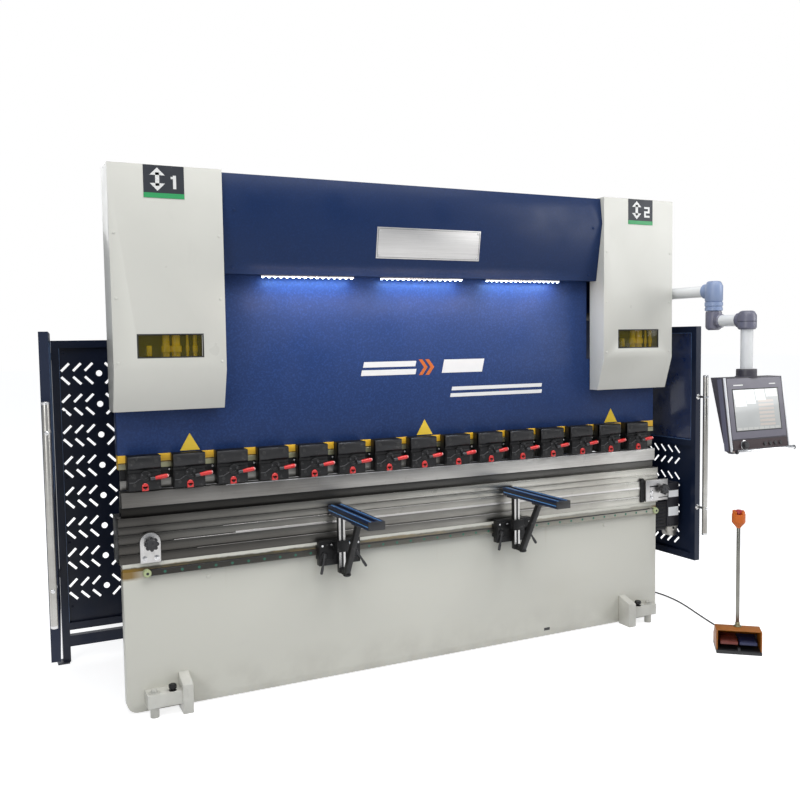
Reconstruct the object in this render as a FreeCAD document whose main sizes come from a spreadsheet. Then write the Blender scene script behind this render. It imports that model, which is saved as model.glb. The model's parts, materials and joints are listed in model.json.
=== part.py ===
# Hydraulic press brake, about 3.2 m between the ends of its bed, standing on its own floor lugs.
# The frame is +X to the operator's right, +Y to the rear, +Z up from the floor.
# The origin is on the floor at the centre of the four anchor holes.
import FreeCAD, Part
import math
import os
import Sketcher

doc = FreeCAD.newDocument("press_brake")

# Driving dimensions, in millimetres and degrees
SIZES = {
    # anchor holes of the floor lugs
    "anchor_pitch_y": 1580,
    "anchor_outset": 125,
    "anchor_bore": 26,
    "anchor_ahead": 60,
    # front plate of the bed
    "bed_length": 3200,
    "apron_thick": 60,
    "apron_foot_gap": 9,
    "apron_top": 722,
    "apron_corner": 50,
    # grooved table on the bed
    "table_reach": 13,
    "table_rise": 216,
    "table_depth": 160,
    "groove_high": 9,
    "groove_deep": 10,
    # die and what it stands in
    "die_seat_rise": 48,
    "die_seat_depth": 64,
    "die_rise": 71,
    "die_depth": 70,
    "die_back": 6,
    "die_vee": 36,
    "tool_end_inset": 7,
    # ram, punch and clamps
    "tool_gap": 9,
    "punch_rise": 44,
    "punch_thick": 20,
    "punch_nose": 5,
    "clamp_seat_rise": 53,
    "strip_rise": 66,
    "strip_depth": 50,
    "ram_back": 31,
    "ram_thick": 70,
    "ram_skirt_rise": 391,
    "ram_neck_room": 20,
    "ram_neck_drop": 95,
    "stroke": 200,
    "clamp_count": 15,
    "clamp_left_inset": 109,
    "clamp_right_inset": 176,
    "clamp_wide": 150,
    "clamp_front": 71,
    "clamp_lip": 14,
    "lever_bore": 14,
    "lever_reach": 70,
    "tab_wide": 40,
    "tab_rise": 26,
    "tab_thick": 8,
    # side frames
    "frame_inset": 290,
    "frame_thick": 50,
    "frame_rear": 1560,
    "frame_top": 2545,
    "throat_back": 480,
    "jaw_depth": 350,
    "frame_nose": 140,
    "ledge_room": 30,
    "cylinder_headroom": 105,
    "frame_notch": 200,
    "frame_chamfer": 300,
    "belly_rise": 120,
    "belly_front": 420,
    "belly_rear": 1260,
    # floor lugs
    "gusset_reach": 100,
    "gusset_front_rise": 140,
    "gusset_back_rise": 174,
    "lug_reach": 160,
    "lug_low": 53,
    "lug_thick": 62,
    "lug_depth": 95,
    "lug_lead": 35,
    "sleeve_wall": 8,
    # cylinders and rods
    "cylinder_bore": 101,
    "cylinder_out": 230,
    "flange_rise": 46,
    "rod_out": 100,
    "rod_engaged": 60,
    "guide_gap": 0.4,
    "guide_wide": 90,
    "guide_inset": 8,
    # covers over the cylinders
    "cover_outset": 22,
    "cover_lap": 200,
    "cover_front": 105,
    "cover_sheet": 4,
    "cover_crease_rise": 185,
    "cover_room": 9,
    "cover_low_back": 58,
    "cover_flank_out": 80,
    "cover_flank_in": 25,
    "window_wide": 293,
    "window_rise": 102,
    "window_above": 62,
    "window_lap": 12,
    # hood between the covers
    "hood_drop": 3,
    "hood_brow": 142,
    "hood_fall": 326,
    "hood_top_ahead": 72,
    "hood_crease_ahead": 90,
    "hood_low_ahead": 35,
    "hood_lip": 50,
    "hood_sheet": 4,
    "led_rise": 10,
    "led_depth": 16,
    "led_length": 490,
    "led_pitch": 638,
    "led_shift": -22,
    # tie beams, tank and cabinet
    "tie_deep": 160,
    "tie_high": 200,
    "upper_tie_deep": 402,
    "rear_tie_low": 160,
    "tank_front": 360,
    "tank_depth": 620,
    "tank_fall": 260,
    "tank_rise": 390,
    "tank_lid": 12,
    "pump_out": 240,
    "pump_length": 420,
    "pump_foot": 20,
    "gauge_front": 620,
    "gauge_deep": 90,
    "gauge_low": 900,
    "gauge_high": 90,
    "finger_wide": 50,
    "finger_long": 150,
    "finger_at": 520,
    "cabinet_wide": 320,
    "cabinet_deep": 520,
    "cabinet_rise": 900,
    "cabinet_low": 620,
    "cabinet_front": 960,
    # rail and its stops
    "rail_left": 1478,
    "rail_right": 1563,
    "rail_high": 28,
    "rail_thick": 22,
    "rail_drop": 47,
    "stop_out": 36,
    # sheet supports
    "support_left_x": -537,
    "support_right_x": 516,
    "carriage_wide": 224,
    "carriage_high": 127,
    "carriage_thick": 38,
    "carriage_drop": 2,
    "slide_gap": 0.3,
    "post_wide": 33,
    "post_length": 300,
    "post_drop": 40,
    "jaw_wall": 16,
    "jaw_high": 56,
    "arm_wide": 84,
    "arm_high": 40,
    "arm_length": 510,
        "brace_wide": 26,
    "brace_top_ahead": 325,
    "brace_low_ahead": 162,
    "brace_thick": 28,
    "support_arm_gap": 12,
    # brackets at the ends of the table
    "bracket_wide": 95,
    "bracket_high": 143,
    "bracket_thick": 22,
    "bracket_inset": 79,
    "end_plate_lap": 97,
    "end_plate_reach": 76,
    "end_plate_drop": 72,
    "end_plate_high": 131,
    "end_knob_reach": 20,
    "end_knob_rise": 74,
    "knob_out": 68,
    "knob_stem": 18,
    "knob_thick": 30,
    # crowning drive at the right end
    "drive_body_wide": 82,
    "drive_body_high": 186,
    "drive_body_low": 541,
    "drive_box_wide": 96,
    "drive_box_high": 272,
    "drive_box_low": 561,
    "drive_deep": 110,
    # side guards
    "guard_plane": 900,
    "guard_reach": 440,
    "guard_bar": 40,
    "guard_sheet": 3,
    "guard_top": 1770,
    "guard_sheet_low": 217,
    "guard_rail_low": 85,
    "slot_long": 58,
    "slot_wide": 13,
    "slot_row": 170,
    "slot_column": 61,
    "slot_rows": 8,
    "slot_top_row": 1588,
    "slot_split": 32,
    "slot_round": 34,
    "slot_middle": 195,
    "slot_first": 74,
    "leaf_top_row": 990,
    "leaf_length": 940,
    "leaf_low": 346,
    "leaf_rise": 1460,
    "leaf_mid": 1080,
    "leaf_rows": 4,
    "leaf_hinge_gap": 25,
    "hinge_out": 24,
    "hinge_high": 80,
    "hinge_inset": 140,
    "left_leaf_angle": 5,
    "right_leaf_angle": 1.4,
    "handle_out": 32,
    "handle_low": 520,
    "handle_rise": 983,
    "handle_gap": 60,
    "handle_stud": 14,
    "handle_stud_low": 164,
    "handle_stud_pitch": 688,
    # pendant arm
    "arm_tube": 66,
    "arm_outset": 78,
    "arm_axis_high": 2005,
    "arm_root": 210,
    "elbow_ahead": 362,
    "elbow_out": 104,
    "elbow_drop": 174,
    "arm_swing": 247,
    "tail_tube_drop": 271,
    "collar_out": 110,
    "collar_high": 44,
    # pendant
    "pendant_wide": 436,
    "pendant_high": 408,
    "pendant_deep": 100,
    "pendant_foot_deep": 46,
    "pendant_lean": 62,
    "screen_wide": 340,
    "screen_high": 226,
    "screen_drop": 66,
    "grip_out": 22,
    "grip_ahead": 30,
    # pedal station
    "pedal_x": 1593,
    "pedal_ahead": 666,
    "pedal_turn": 40,
    "pedal_wide": 236,
    "pedal_deep": 190,
    "pedal_plate": 16,
    "pedal_hood_high": 129,
    "pedal_roof_back": 20,
    "pedal_hood_wall": 6,
    "treadle_wide": 92,
    "treadle_long": 140,
    "treadle_thick": 12,
    "treadle_high": 62,
    "treadle_gap": 8,
    "treadle_pin": 10,
    "treadle_eye": 20,
    "pin_play": 0.3,
    "stand_out": 20,
    "stand_high": 690,
    "stop_box": 71,
    "stop_box_high": 90,
    "stop_head": 40,
    "stop_stem": 12,
    "stop_well": 30,
    "stop_travel": 4,
    # pedal lead
    "lead_out": 9,
    "lead_lift": 0.5,
    "lead_room": 0.2,
    "gland_back": 1006,
    "gland_high": 150,
}

sheet = doc.addObject("Spreadsheet::Sheet", "sizes")
for row, (word, number) in enumerate(SIZES.items(), 1):
    sheet.set("A%d" % row, word)
    sheet.set("B%d" % row, str(number))
    sheet.setAlias("B%d" % row, word)
doc.recompute()


class Size:
    """A length or angle: its formula over the sheet, and its present value."""

    def __init__(self, text, value):
        self.text = text
        self.value = float(value)

    def mix(self, other, sign, turned=False):
        if not isinstance(other, Size):
            other = Size(repr(float(other)), other)
        left, right = (other, self) if turned else (self, other)
        value = {"+": left.value + right.value,
                 "-": left.value - right.value,
                 "*": left.value * right.value,
                 "/": left.value / right.value if sign == "/" else 0.0}[sign]
        return Size("(%s %s %s)" % (left.text, sign, right.text), value)

    def __add__(self, other):
        return self.mix(other, "+")

    def __radd__(self, other):
        return self.mix(other, "+", True)

    def __sub__(self, other):
        return self.mix(other, "-")

    def __rsub__(self, other):
        return self.mix(other, "-", True)

    def __mul__(self, other):
        return self.mix(other, "*")

    def __rmul__(self, other):
        return self.mix(other, "*", True)

    def __truediv__(self, other):
        return self.mix(other, "/")

    def __neg__(self):
        return self.mix(-1.0, "*")


class Book:
    """The sheet's words as sizes, such as s.bed_length."""

    def __getattr__(self, word):
        return Size("sizes." + word, SIZES[word])


s = Book()


def sized(value):
    return value if isinstance(value, Size) else Size(repr(float(value)), value)


def bind(thing, prop, size):
    thing.setExpression(prop, sized(size).text)


def place(thing, x=0, y=0, z=0):
    for letter, size in zip("xyz", (x, y, z)):
        bind(thing, "Placement.Base." + letter, size)
    return thing


# Derived places, shared by the pieces that meet there
face = -(s.anchor_pitch_y / 2 - s.anchor_ahead)
half_bed = s.bed_length / 2
table_top = s.apron_top + s.table_rise
die_low = table_top + s.die_seat_rise
die_top = die_low + s.die_rise
punch_low = die_top + s.tool_gap
punch_top = punch_low + s.punch_rise
strip_low = punch_top + s.clamp_seat_rise
ram_low = strip_low + s.strip_rise
ram_shoulder = ram_low + s.ram_skirt_rise
ram_front = face + s.ram_back
tool_half = half_bed - s.tool_end_inset
frame_half = half_bed - s.frame_inset
frame_inside = 2 * frame_half
frame_outer = frame_half + s.frame_thick
anchor_x = frame_outer + s.anchor_outset
ledge = ram_shoulder + s.stroke + s.ledge_room
throat_top = ledge - s.jaw_depth
cylinder_rise = s.frame_top - ledge - s.cylinder_headroom
cylinder_x = frame_half + s.frame_thick / 2
cylinder_y = ram_front + s.ram_thick / 2
cover_half = half_bed + s.cover_outset
cover_top = s.frame_top + s.cover_sheet
cover_low = ram_low + s.stroke + s.cover_room
cover_crease = cover_low + s.cover_crease_rise
window_low = cover_crease + s.window_above
hood_half = frame_half - s.cover_lap
neck_rise = s.frame_top - s.ram_neck_drop - s.stroke - ram_shoulder
arm_x = cover_half + s.arm_outset
hood_top = s.frame_top - s.hood_drop
hood_crease = hood_top - s.hood_brow
hood_low = hood_crease - s.hood_fall
upper_tie_low = hood_top - s.upper_tie_deep
tank_low = upper_tie_low - s.tank_fall
rail_top = s.apron_top - s.rail_drop + s.rail_high / 2
guard_y = face + s.guard_plane
guard_half = frame_outer + s.guard_reach


# Places along the floor that the foot station's lead lies over: across, behind the bed's face, up
LEAD_ROUTE = (
    (1699.3, -539.4, 42),
    (1738, -448, 15),
    (1772, -350, 0),
    (1806, -240, 0),
    (1842, -130, 0),
    (1882, -18, 0),
    (1920, 95, 0),
    (1946, 208, 0),
    (1957, 325, 0),
    (1943, 442, 0),
    (1902, 553, 0),
    (1843, 656, 0),
    (1775, 754, 0),
    (1698, 844, 0),
    (1615, 922, 0),
    (1540, 962, 18),
    (1470, 999, 100),
    (1425, 1006, 150),
)

# Ways to make solids
def block(name, x, y, z, dx, dy, dz):
    """A box from its low corner and its three lengths."""
    box = doc.addObject("Part::Box", name)
    bind(box, "Length", dx)
    bind(box, "Width", dy)
    bind(box, "Height", dz)
    return place(box, x, y, z)


TURNS = {"x": FreeCAD.Rotation(FreeCAD.Vector(0, 1, 0), 90),
         "y": FreeCAD.Rotation(FreeCAD.Vector(1, 0, 0), -90),
         "z": FreeCAD.Rotation()}


def rod(name, x, y, z, radius, length, along="z"):
    """A cylinder from the centre of its low end."""
    bar = doc.addObject("Part::Cylinder", name)
    bind(bar, "Radius", radius)
    bind(bar, "Height", length)
    bar.Placement = FreeCAD.Placement(FreeCAD.Vector(), TURNS[along])
    return place(bar, x, y, z)


def bar(name, x, y, z, radius, length, along="z"):
    """An eight-sided bar from the centre of its low end."""
    grip = doc.addObject("Part::Prism", name)
    grip.Polygon = 8
    bind(grip, "Circumradius", radius)
    bind(grip, "Height", length)
    grip.Placement = FreeCAD.Placement(FreeCAD.Vector(), TURNS[along])
    return place(grip, x, y, z)


def fuse(name, *pieces):
    joined = doc.addObject("Part::MultiFuse", name)
    joined.Shapes = list(pieces)
    joined.Refine = True
    return joined


def cut(name, whole, *tools):
    tool = tools[0] if len(tools) == 1 else fuse(name + "_tools", *tools)
    left = doc.addObject("Part::Cut", name)
    left.Base = whole
    left.Tool = tool
    left.Refine = True
    return left


def group(name, pieces):
    """Like pieces on one carrier, as solids that do not touch."""
    packed = doc.addObject("Part::Compound", name)
    packed.Links = list(pieces)
    return packed


PLANES = {"yz": "YZ_Plane", "xz": "XZ_Plane", "xy": "XY_Plane"}


def prism(name, plane, outline, start, length):
    """A body whose outline, a ring of sized points, is padded along the plane's normal axis."""
    body = doc.addObject("PartDesign::Body", name)
    sketch = body.newObject("Sketcher::SketchObject", name + "_outline")
    ground = [f for f in body.Origin.OriginFeatures if f.Role == PLANES[plane]][0]
    sketch.AttachmentSupport = [(ground, "")]
    sketch.MapMode = "FlatFace"
    ring = [(sized(u), sized(v)) for u, v in outline]
    for here, there in zip(ring, ring[1:] + ring[:1]):
        start_point = FreeCAD.Vector(here[0].value, here[1].value, 0)
        end_point = FreeCAD.Vector(there[0].value, there[1].value, 0)
        sketch.addGeometry(Part.LineSegment(start_point, end_point), False)
    for index, (u, v) in enumerate(ring):
        follower = (index + 1) % len(ring)
        sketch.addConstraint(Sketcher.Constraint("Coincident", index, 2, follower, 1))
        across = sketch.addConstraint(Sketcher.Constraint("DistanceX", -1, 1, index, 1, u.value))
        sketch.setExpression("Constraints[%d]" % across, u.text)
        upward = sketch.addConstraint(Sketcher.Constraint("DistanceY", -1, 1, index, 1, v.value))
        sketch.setExpression("Constraints[%d]" % upward, v.text)
    pad = body.newObject("PartDesign::Pad", name + "_pad")
    pad.Profile = sketch
    bind(pad, "Length", length)
    pad.Reversed = plane == "xz"
    sketch.Visibility = False
    body.Tip = pad
    move = {"yz": (start, 0, 0), "xz": (0, start, 0), "xy": (0, 0, start)}[plane]
    return place(body, *move)


def mirrored(name, piece):
    """The same piece on the other side of the machine."""
    twin = doc.addObject("Part::Mirroring", name)
    twin.Source = piece
    twin.Normal = FreeCAD.Vector(1, 0, 0)
    return twin


nodes = {}


def keep(node, piece):
    piece.Label = node
    nodes[node] = piece
    return piece


# Front plate of the bed, with rounded lower corners
def apron():
    low = s.apron_foot_gap
    plate = block("apron_plate", -half_bed, face, low, s.bed_length, s.apron_thick,
                  s.apron_top - low)
    rounds = []
    for side, sign in (("left", -1), ("right", 1)):
        corner_x = sign * half_bed - (s.apron_corner if sign > 0 else 0)
        waste = block("apron_waste_" + side, corner_x, face, low, s.apron_corner, s.apron_thick,
                      s.apron_corner)
        round_x = sign * (half_bed - s.apron_corner)
        keeper = rod("apron_round_" + side, round_x, face, low + s.apron_corner, s.apron_corner,
                     s.apron_thick, "y")
        rounds.append(cut("apron_corner_" + side, waste, keeper))
    keep("bed_apron", cut("bed_apron", plate, *rounds))


# Table on the bed, its front face cut with long grooves
def table():
    back = face + s.table_depth
    inner = face + s.groove_deep
    rises = (1, 0.80, 0.63, 0.42, 0.2)
    outline = [(back, s.apron_top), (back, table_top), (face, table_top)]
    for share in rises[1:]:
        edge = s.apron_top + s.table_rise * share
        outline += [(face, edge + s.groove_high), (inner, edge + s.groove_high),
                    (inner, edge), (face, edge)]
    outline.append((face, s.apron_top))
    keep("bed_table", prism("bed_table", "yz", outline, -(half_bed + s.table_reach),
                            s.bed_length + 2 * s.table_reach))


def tooling_below():
    seat_front = face + s.die_back + 20
    keep("die_seat", block("die_seat", -tool_half, seat_front, table_top, 2 * tool_half,
                           s.die_seat_depth, s.die_seat_rise))
    front = face + s.die_back
    back = front + s.die_depth
    middle = front + s.die_depth / 2
    vee = s.die_vee / 2
    outline = [(front, die_low), (back, die_low), (back, die_top), (middle + vee, die_top),
               (middle, die_top - vee), (middle - vee, die_top), (front, die_top)]
    keep("lower_die", prism("lower_die", "yz", outline, -tool_half, 2 * tool_half))


def ram():
    skirt = block("ram_skirt", -half_bed, ram_front, ram_low, s.bed_length, s.ram_thick,
                  s.ram_skirt_rise)
    neck = block("ram_neck", s.ram_neck_room - hood_half, ram_front, ram_shoulder,
                 2 * (hood_half - s.ram_neck_room),
                 s.ram_thick, neck_rise)
    keep("ram", fuse("ram", skirt, neck))
    keep("punch_strip", block("punch_strip", -half_bed, ram_front, strip_low, s.bed_length,
                              s.strip_depth, s.strip_rise))
    middle = face + s.die_back + s.die_depth / 2
    half_thick = s.punch_thick / 2
    half_nose = s.punch_nose / 2
    shank = punch_low + s.punch_rise * 0.45
    outline = [(middle - half_nose, punch_low), (middle + half_nose, punch_low),
               (middle + half_thick, shank), (middle + half_thick, punch_top),
               (middle - half_thick, punch_top), (middle - half_thick, shank)]
    keep("punch", prism("punch", "yz", outline, -tool_half, 2 * tool_half))


def clamps():
    count = int(SIZES["clamp_count"])
    front = ram_front - s.clamp_front
    low = punch_low + 2
    first = s.clamp_left_inset - half_bed
    pitch = (half_bed - s.clamp_right_inset - first) / (count - 1)
    blocks, levers, tabs = [], [], []
    for index in range(count):
        centre = first + pitch * index
        left = centre - s.clamp_wide / 2
        number = "_%02d" % (index + 1)
        jaw = block("jaw" + number, left, front + s.clamp_lip, low, s.clamp_wide,
                    s.clamp_front - s.clamp_lip, ram_low + 1 - low)
        lip = block("lip" + number, left, front, strip_low + 10, s.clamp_wide, s.clamp_lip,
                    s.strip_rise - 9)
        heel = block("heel" + number, left, front, low + 30, s.clamp_wide, s.clamp_lip, 46)
        seat = block("seat" + number, left, ram_front, punch_top, s.clamp_wide,
                     s.strip_depth * 0.6, s.clamp_seat_rise)
        blocks.append(fuse("clamp" + number, jaw, lip, heel, seat))
        lever_z = low + 62
        root = bar("lever_root" + number, centre + 6, front - 12, lever_z, s.lever_bore,
                   12, "y")
        grip = bar("lever_grip" + number, centre + 6, front - 8, lever_z, s.lever_bore / 2,
                   s.lever_reach + 30, "x")
        levers.append(fuse("lever" + number, root, grip))
        tabs.append(block("tab" + number, centre - s.tab_wide / 2, front + s.clamp_lip - s.tab_thick,
                          low - 1, s.tab_wide, s.tab_thick, s.tab_rise))
    keep("punch_clamps", group("punch_clamps", blocks))
    keep("clamp_levers", group("clamp_levers", levers))
    keep("clamp_tabs", group("clamp_tabs", tabs))


def side_frames():
    rear = face + s.frame_rear
    front = face + s.apron_thick
    nose = face + s.frame_nose
    throat = face + s.throat_back
    notch = face + s.frame_notch
    slope = s.frame_chamfer
    outline = [(front, 0), (face + s.belly_front, 0), (face + s.belly_front + 60, s.belly_rise),
               (face + s.belly_rear - 60, s.belly_rise), (face + s.belly_rear, 0), (rear, 0),
               (rear, s.frame_top - slope), (rear - slope, s.frame_top), (notch, s.frame_top),
               (notch, ledge), (nose, ledge), (nose, throat_top),
               (throat - 120, throat_top), (throat, throat_top - 120),
               (throat, s.apron_top + 120), (throat - 120, s.apron_top), (front, s.apron_top)]
    left = prism("side_frame_left", "yz", outline, -frame_outer, s.frame_thick)
    keep("side_frame_left", left)
    keep("side_frame_right", prism("side_frame_right", "yz", outline, frame_half, s.frame_thick))


def feet():
    """Gussets at the front of the frames, and at each corner a lug on a sleeve for the anchor."""
    gussets = []
    lugs = []
    outline = [(face, 0), (face, s.gusset_back_rise), (face - s.gusset_reach, s.gusset_front_rise),
               (face - s.gusset_reach, 0)]
    rear_y = s.anchor_pitch_y / 2 - s.lug_depth + s.lug_lead
    for side, sign in (("left", -1), ("right", 1)):
        low_x = -frame_outer if sign < 0 else frame_half
        lug_x = -(frame_outer + s.lug_reach) if sign < 0 else frame_outer
        gussets.append(prism("gusset_" + side, "yz", outline, low_x, s.frame_thick))
        for end, lug_y, hole_y in (("front", face - s.lug_depth, -s.anchor_pitch_y / 2),
                                   ("rear", rear_y, s.anchor_pitch_y / 2)):
            tag = "%s_%s" % (end, side)
            plate = block("lug_plate_" + tag, lug_x, lug_y, s.lug_low, s.lug_reach, s.lug_depth,
                          s.lug_thick)
            sleeve = rod("lug_sleeve_" + tag, sign * anchor_x, hole_y, 0,
                         s.anchor_bore / 2 + s.sleeve_wall, s.lug_low + 1)
            hole = rod("anchor_" + tag, sign * anchor_x, hole_y, -1, s.anchor_bore / 2,
                       s.lug_low + s.lug_thick + 2)
            lugs.append(cut("lug_" + tag, fuse("lug_solid_" + tag, plate, sleeve), hole))
    keep("front_gussets", group("front_gussets", gussets))
    keep("anchor_lugs", group("anchor_lugs", lugs))


def cylinders():
    rods = []
    shells = []
    guides = []
    for side, sign in (("left", -1), ("right", 1)):
        x = sign * cylinder_x
        half = s.cylinder_out / 2
        barrel = rod("barrel_" + side, x, cylinder_y, ledge, half, cylinder_rise)
        flange = block("flange_" + side, x - half, cylinder_y - half, ledge,
                       s.cylinder_out, half + face + s.frame_notch - cylinder_y, s.flange_rise)
        cap = rod("cap_" + side, x, cylinder_y, ledge + cylinder_rise, half * 0.8, 30)
        bore = rod("bore_" + side, x, cylinder_y, ledge - 1, s.cylinder_bore / 2,
                   s.stroke + s.rod_engaged + 40)
        shells.append(cut("cylinder_" + side, fuse("cylinder_solid_" + side, barrel, flange, cap),
                          bore))
        rods.append(rod("rod_" + side, x, cylinder_y, ram_shoulder, s.rod_out / 2,
                        ledge + s.rod_engaged - ram_shoulder))
        ram_rear = ram_front + s.ram_thick
        guides.append(block("ram_guide_" + side, x - s.guide_wide / 2, ram_rear + s.guide_gap,
                            throat_top + s.guide_inset, s.guide_wide,
                            face + s.frame_nose - ram_rear - s.guide_gap,
                            ram_shoulder - throat_top - 2 * s.guide_inset))
    keep("cylinders", group("cylinders", shells))
    keep("piston_rods", group("piston_rods", rods))
    keep("ram_guides", group("ram_guides", guides))


def covers():
    front = face - s.cover_front
    low_front = front + s.cover_low_back
    top_back = face + s.frame_notch + 60
    out_back = face + s.cover_flank_out
    in_back = face + s.cover_flank_in
    wall = s.cover_sheet
    panes = []
    for side, sign in (("left", -1), ("right", 1)):
        outer = [(low_front, cover_low), (front, cover_crease), (front, cover_top),
                 (top_back, cover_top), (top_back, cover_top - wall),
                 (out_back, cover_top - wall), (out_back, cover_low)]
        hollow = [(low_front + wall, cover_low - 1), (front + wall, cover_crease),
                  (front + wall, cover_top - wall), (top_back + 1, cover_top - wall),
                  (top_back + 1, cover_low - 1)]
        low_x = -cover_half if sign < 0 else hood_half
        wide = cover_half - hood_half
        shell = prism("cover_solid_" + side, "yz", outer, low_x, wide)
        room = prism("cover_room_" + side, "yz", hollow, low_x + wall, wide - 2 * wall)
        inner_x = hood_half if sign > 0 else -hood_half - wall
        trim = block("cover_trim_" + side, inner_x - 1, in_back, cover_low - 1, wall + 2,
                     top_back - in_back + 2, cover_top - cover_low + 2 - wall)
        shelf_x = -cover_half - 1 if sign < 0 else frame_outer + 2
        shelf = block("cover_shelf_" + side, shelf_x, out_back, cover_top - wall - 1,
                      cover_half - frame_outer - 1, top_back - out_back + 2, wall + 2)
        window_x = sign * (hood_half + wide / 2) - s.window_wide / 2
        window = block("cover_hole_" + side, window_x, front - 1, window_low, s.window_wide,
                       wall + 2, s.window_rise)
        keep("cover_" + side, cut("cover_" + side, shell, room, trim, shelf, window))
        lap = s.window_lap
        panes.append(block("window_" + side, window_x - lap, front + wall, window_low - lap,
                           s.window_wide + 2 * lap, wall, s.window_rise + 2 * lap))
    keep("cover_windows", group("cover_windows", panes))


def hood():
    wall = s.hood_sheet
    top_y = face - s.hood_top_ahead
    crease_y = face - s.hood_crease_ahead
    low_y = face - s.hood_low_ahead
    back = face + s.frame_notch + 60
    lip = low_y + s.hood_lip
    outline = [(low_y, hood_low), (crease_y, hood_crease), (top_y, hood_top),
               (back, hood_top), (back, hood_top - wall), (top_y + wall, hood_top - wall),
               (crease_y + wall, hood_crease), (low_y + wall, hood_low + wall),
               (lip, hood_low + wall), (lip, hood_low)]
    keep("hood", prism("hood", "yz", outline, -hood_half, 2 * hood_half))
    strips = []
    for index, share in enumerate((-1, 0, 1)):
        x = s.led_shift + s.led_pitch * share - s.led_length / 2
        strips.append(block("led_%d" % (index + 1), x, low_y + 16, hood_low - s.led_rise,
                            s.led_length, s.led_depth, s.led_rise))
    keep("led_strips", group("led_strips", strips))


def rear_parts():
    tie_y = face + s.frame_notch + 60
    keep("upper_tie_beam", block("upper_tie_beam", -frame_half, tie_y, upper_tie_low,
                                 frame_inside, s.tie_deep - 60, hood_top - upper_tie_low))
    keep("rear_tie_beam", block("rear_tie_beam", -frame_half, face + s.frame_rear - s.tie_deep,
                                s.rear_tie_low, frame_inside, s.tie_deep, s.tie_high))
    tank_y = face + s.tank_front
    tank_top = tank_low + s.tank_rise
    tank = block("tank_box", -frame_half, tank_y, tank_low, frame_inside, s.tank_depth,
                 s.tank_rise)
    lid = block("tank_lid", -frame_half + 30, tank_y, tank_top, frame_inside - 60,
                s.tank_depth - 30, s.tank_lid)
    keep("oil_tank", fuse("oil_tank", tank, lid))
    foot_low = tank_top + s.tank_lid
    pump_y = tank_y + s.tank_depth / 2
    motor = rod("motor_body", -s.pump_length / 2, pump_y, foot_low + s.pump_out / 2, s.pump_out / 2,
                s.pump_length, "x")
    foot = block("motor_foot", -s.pump_length / 2 + 60, pump_y - s.pump_out / 2, foot_low,
                 s.pump_length - 120, s.pump_out, s.pump_foot)
    keep("pump_motor", fuse("pump_motor", motor, foot))
    beam_y = face + s.gauge_front
    beam = block("gauge_beam", -frame_half, beam_y, s.gauge_low, frame_inside, s.gauge_deep,
                 s.gauge_high)
    fingers = [block("gauge_finger_%d" % index, place_x - s.finger_wide / 2,
                     beam_y - s.finger_long, s.gauge_low + 30, s.finger_wide, s.finger_long,
                     s.gauge_high)
               for index, place_x in enumerate((-s.finger_at, s.finger_at))]
    keep("back_gauge", fuse("back_gauge", beam, *fingers))
    keep("electric_cabinet", block("electric_cabinet", frame_outer, face + s.cabinet_front,
                                   s.cabinet_low, s.cabinet_wide, s.cabinet_deep,
                                   s.cabinet_rise))


def rail_and_brackets():
    low = rail_top - s.rail_high
    rail = block("linear_rail", -s.rail_left, face - s.rail_thick, low, s.rail_left + s.rail_right,
                 s.rail_thick, s.rail_high)
    stops = []
    for side, x in (("left", -s.rail_left - s.stop_out * 0.4),
                    ("right", s.rail_right - s.stop_out * 0.6)):
        stops.append(rod("rail_stop_" + side, x, face - s.rail_thick, low + s.rail_high / 2,
                         s.stop_out / 2, s.rail_thick, "y"))
    keep("linear_rail", fuse("linear_rail", rail, *stops))
    y = face - s.bracket_thick
    middle = -(half_bed - s.bracket_inset - s.bracket_wide / 2)
    crown_z = s.apron_top + 1 + s.bracket_high - s.bracket_wide / 2
    plate = block("bracket_plate", middle - s.bracket_wide / 2, y, s.apron_top + 1, s.bracket_wide,
                  s.bracket_thick, s.bracket_high - s.bracket_wide / 2)
    crown = rod("bracket_crown", middle, y, crown_z, s.bracket_wide / 2, s.bracket_thick, "y")
    end_low = table_top - s.end_plate_drop - s.end_plate_high
    end_plate = block("end_plate", half_bed - s.end_plate_lap, y, end_low,
                      s.end_plate_lap + s.end_plate_reach, s.bracket_thick, s.end_plate_high)
    keep("level_brackets", group("level_brackets", [fuse("level_bracket", plate, crown), end_plate]))
    knobs = []
    for side, knob_x, knob_z in (("left", middle, crown_z - 1),
                                 ("right", half_bed + s.end_knob_reach, end_low + s.end_knob_rise)):
        stem = rod("knob_stem_" + side, knob_x, y - s.knob_stem, knob_z, s.knob_stem / 2,
                   s.knob_stem, "y")
        star = rod("knob_star_" + side, knob_x, y - s.knob_stem - s.knob_thick, knob_z,
                   s.knob_out / 2, s.knob_thick, "y")
        knobs.append(fuse("level_knob_" + side, stem, star))
    keep("level_knobs", group("level_knobs", knobs))
    body = block("drive_body", half_bed, face, s.drive_body_low, s.drive_body_wide,
                 s.drive_deep, s.drive_body_high - 6)
    box = block("drive_box", half_bed + s.drive_body_wide, face - 10, s.drive_box_low, s.drive_box_wide,
                s.drive_deep + 20, s.drive_box_high)
    keep("crowning_drive", fuse("crowning_drive", body, box))


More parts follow.
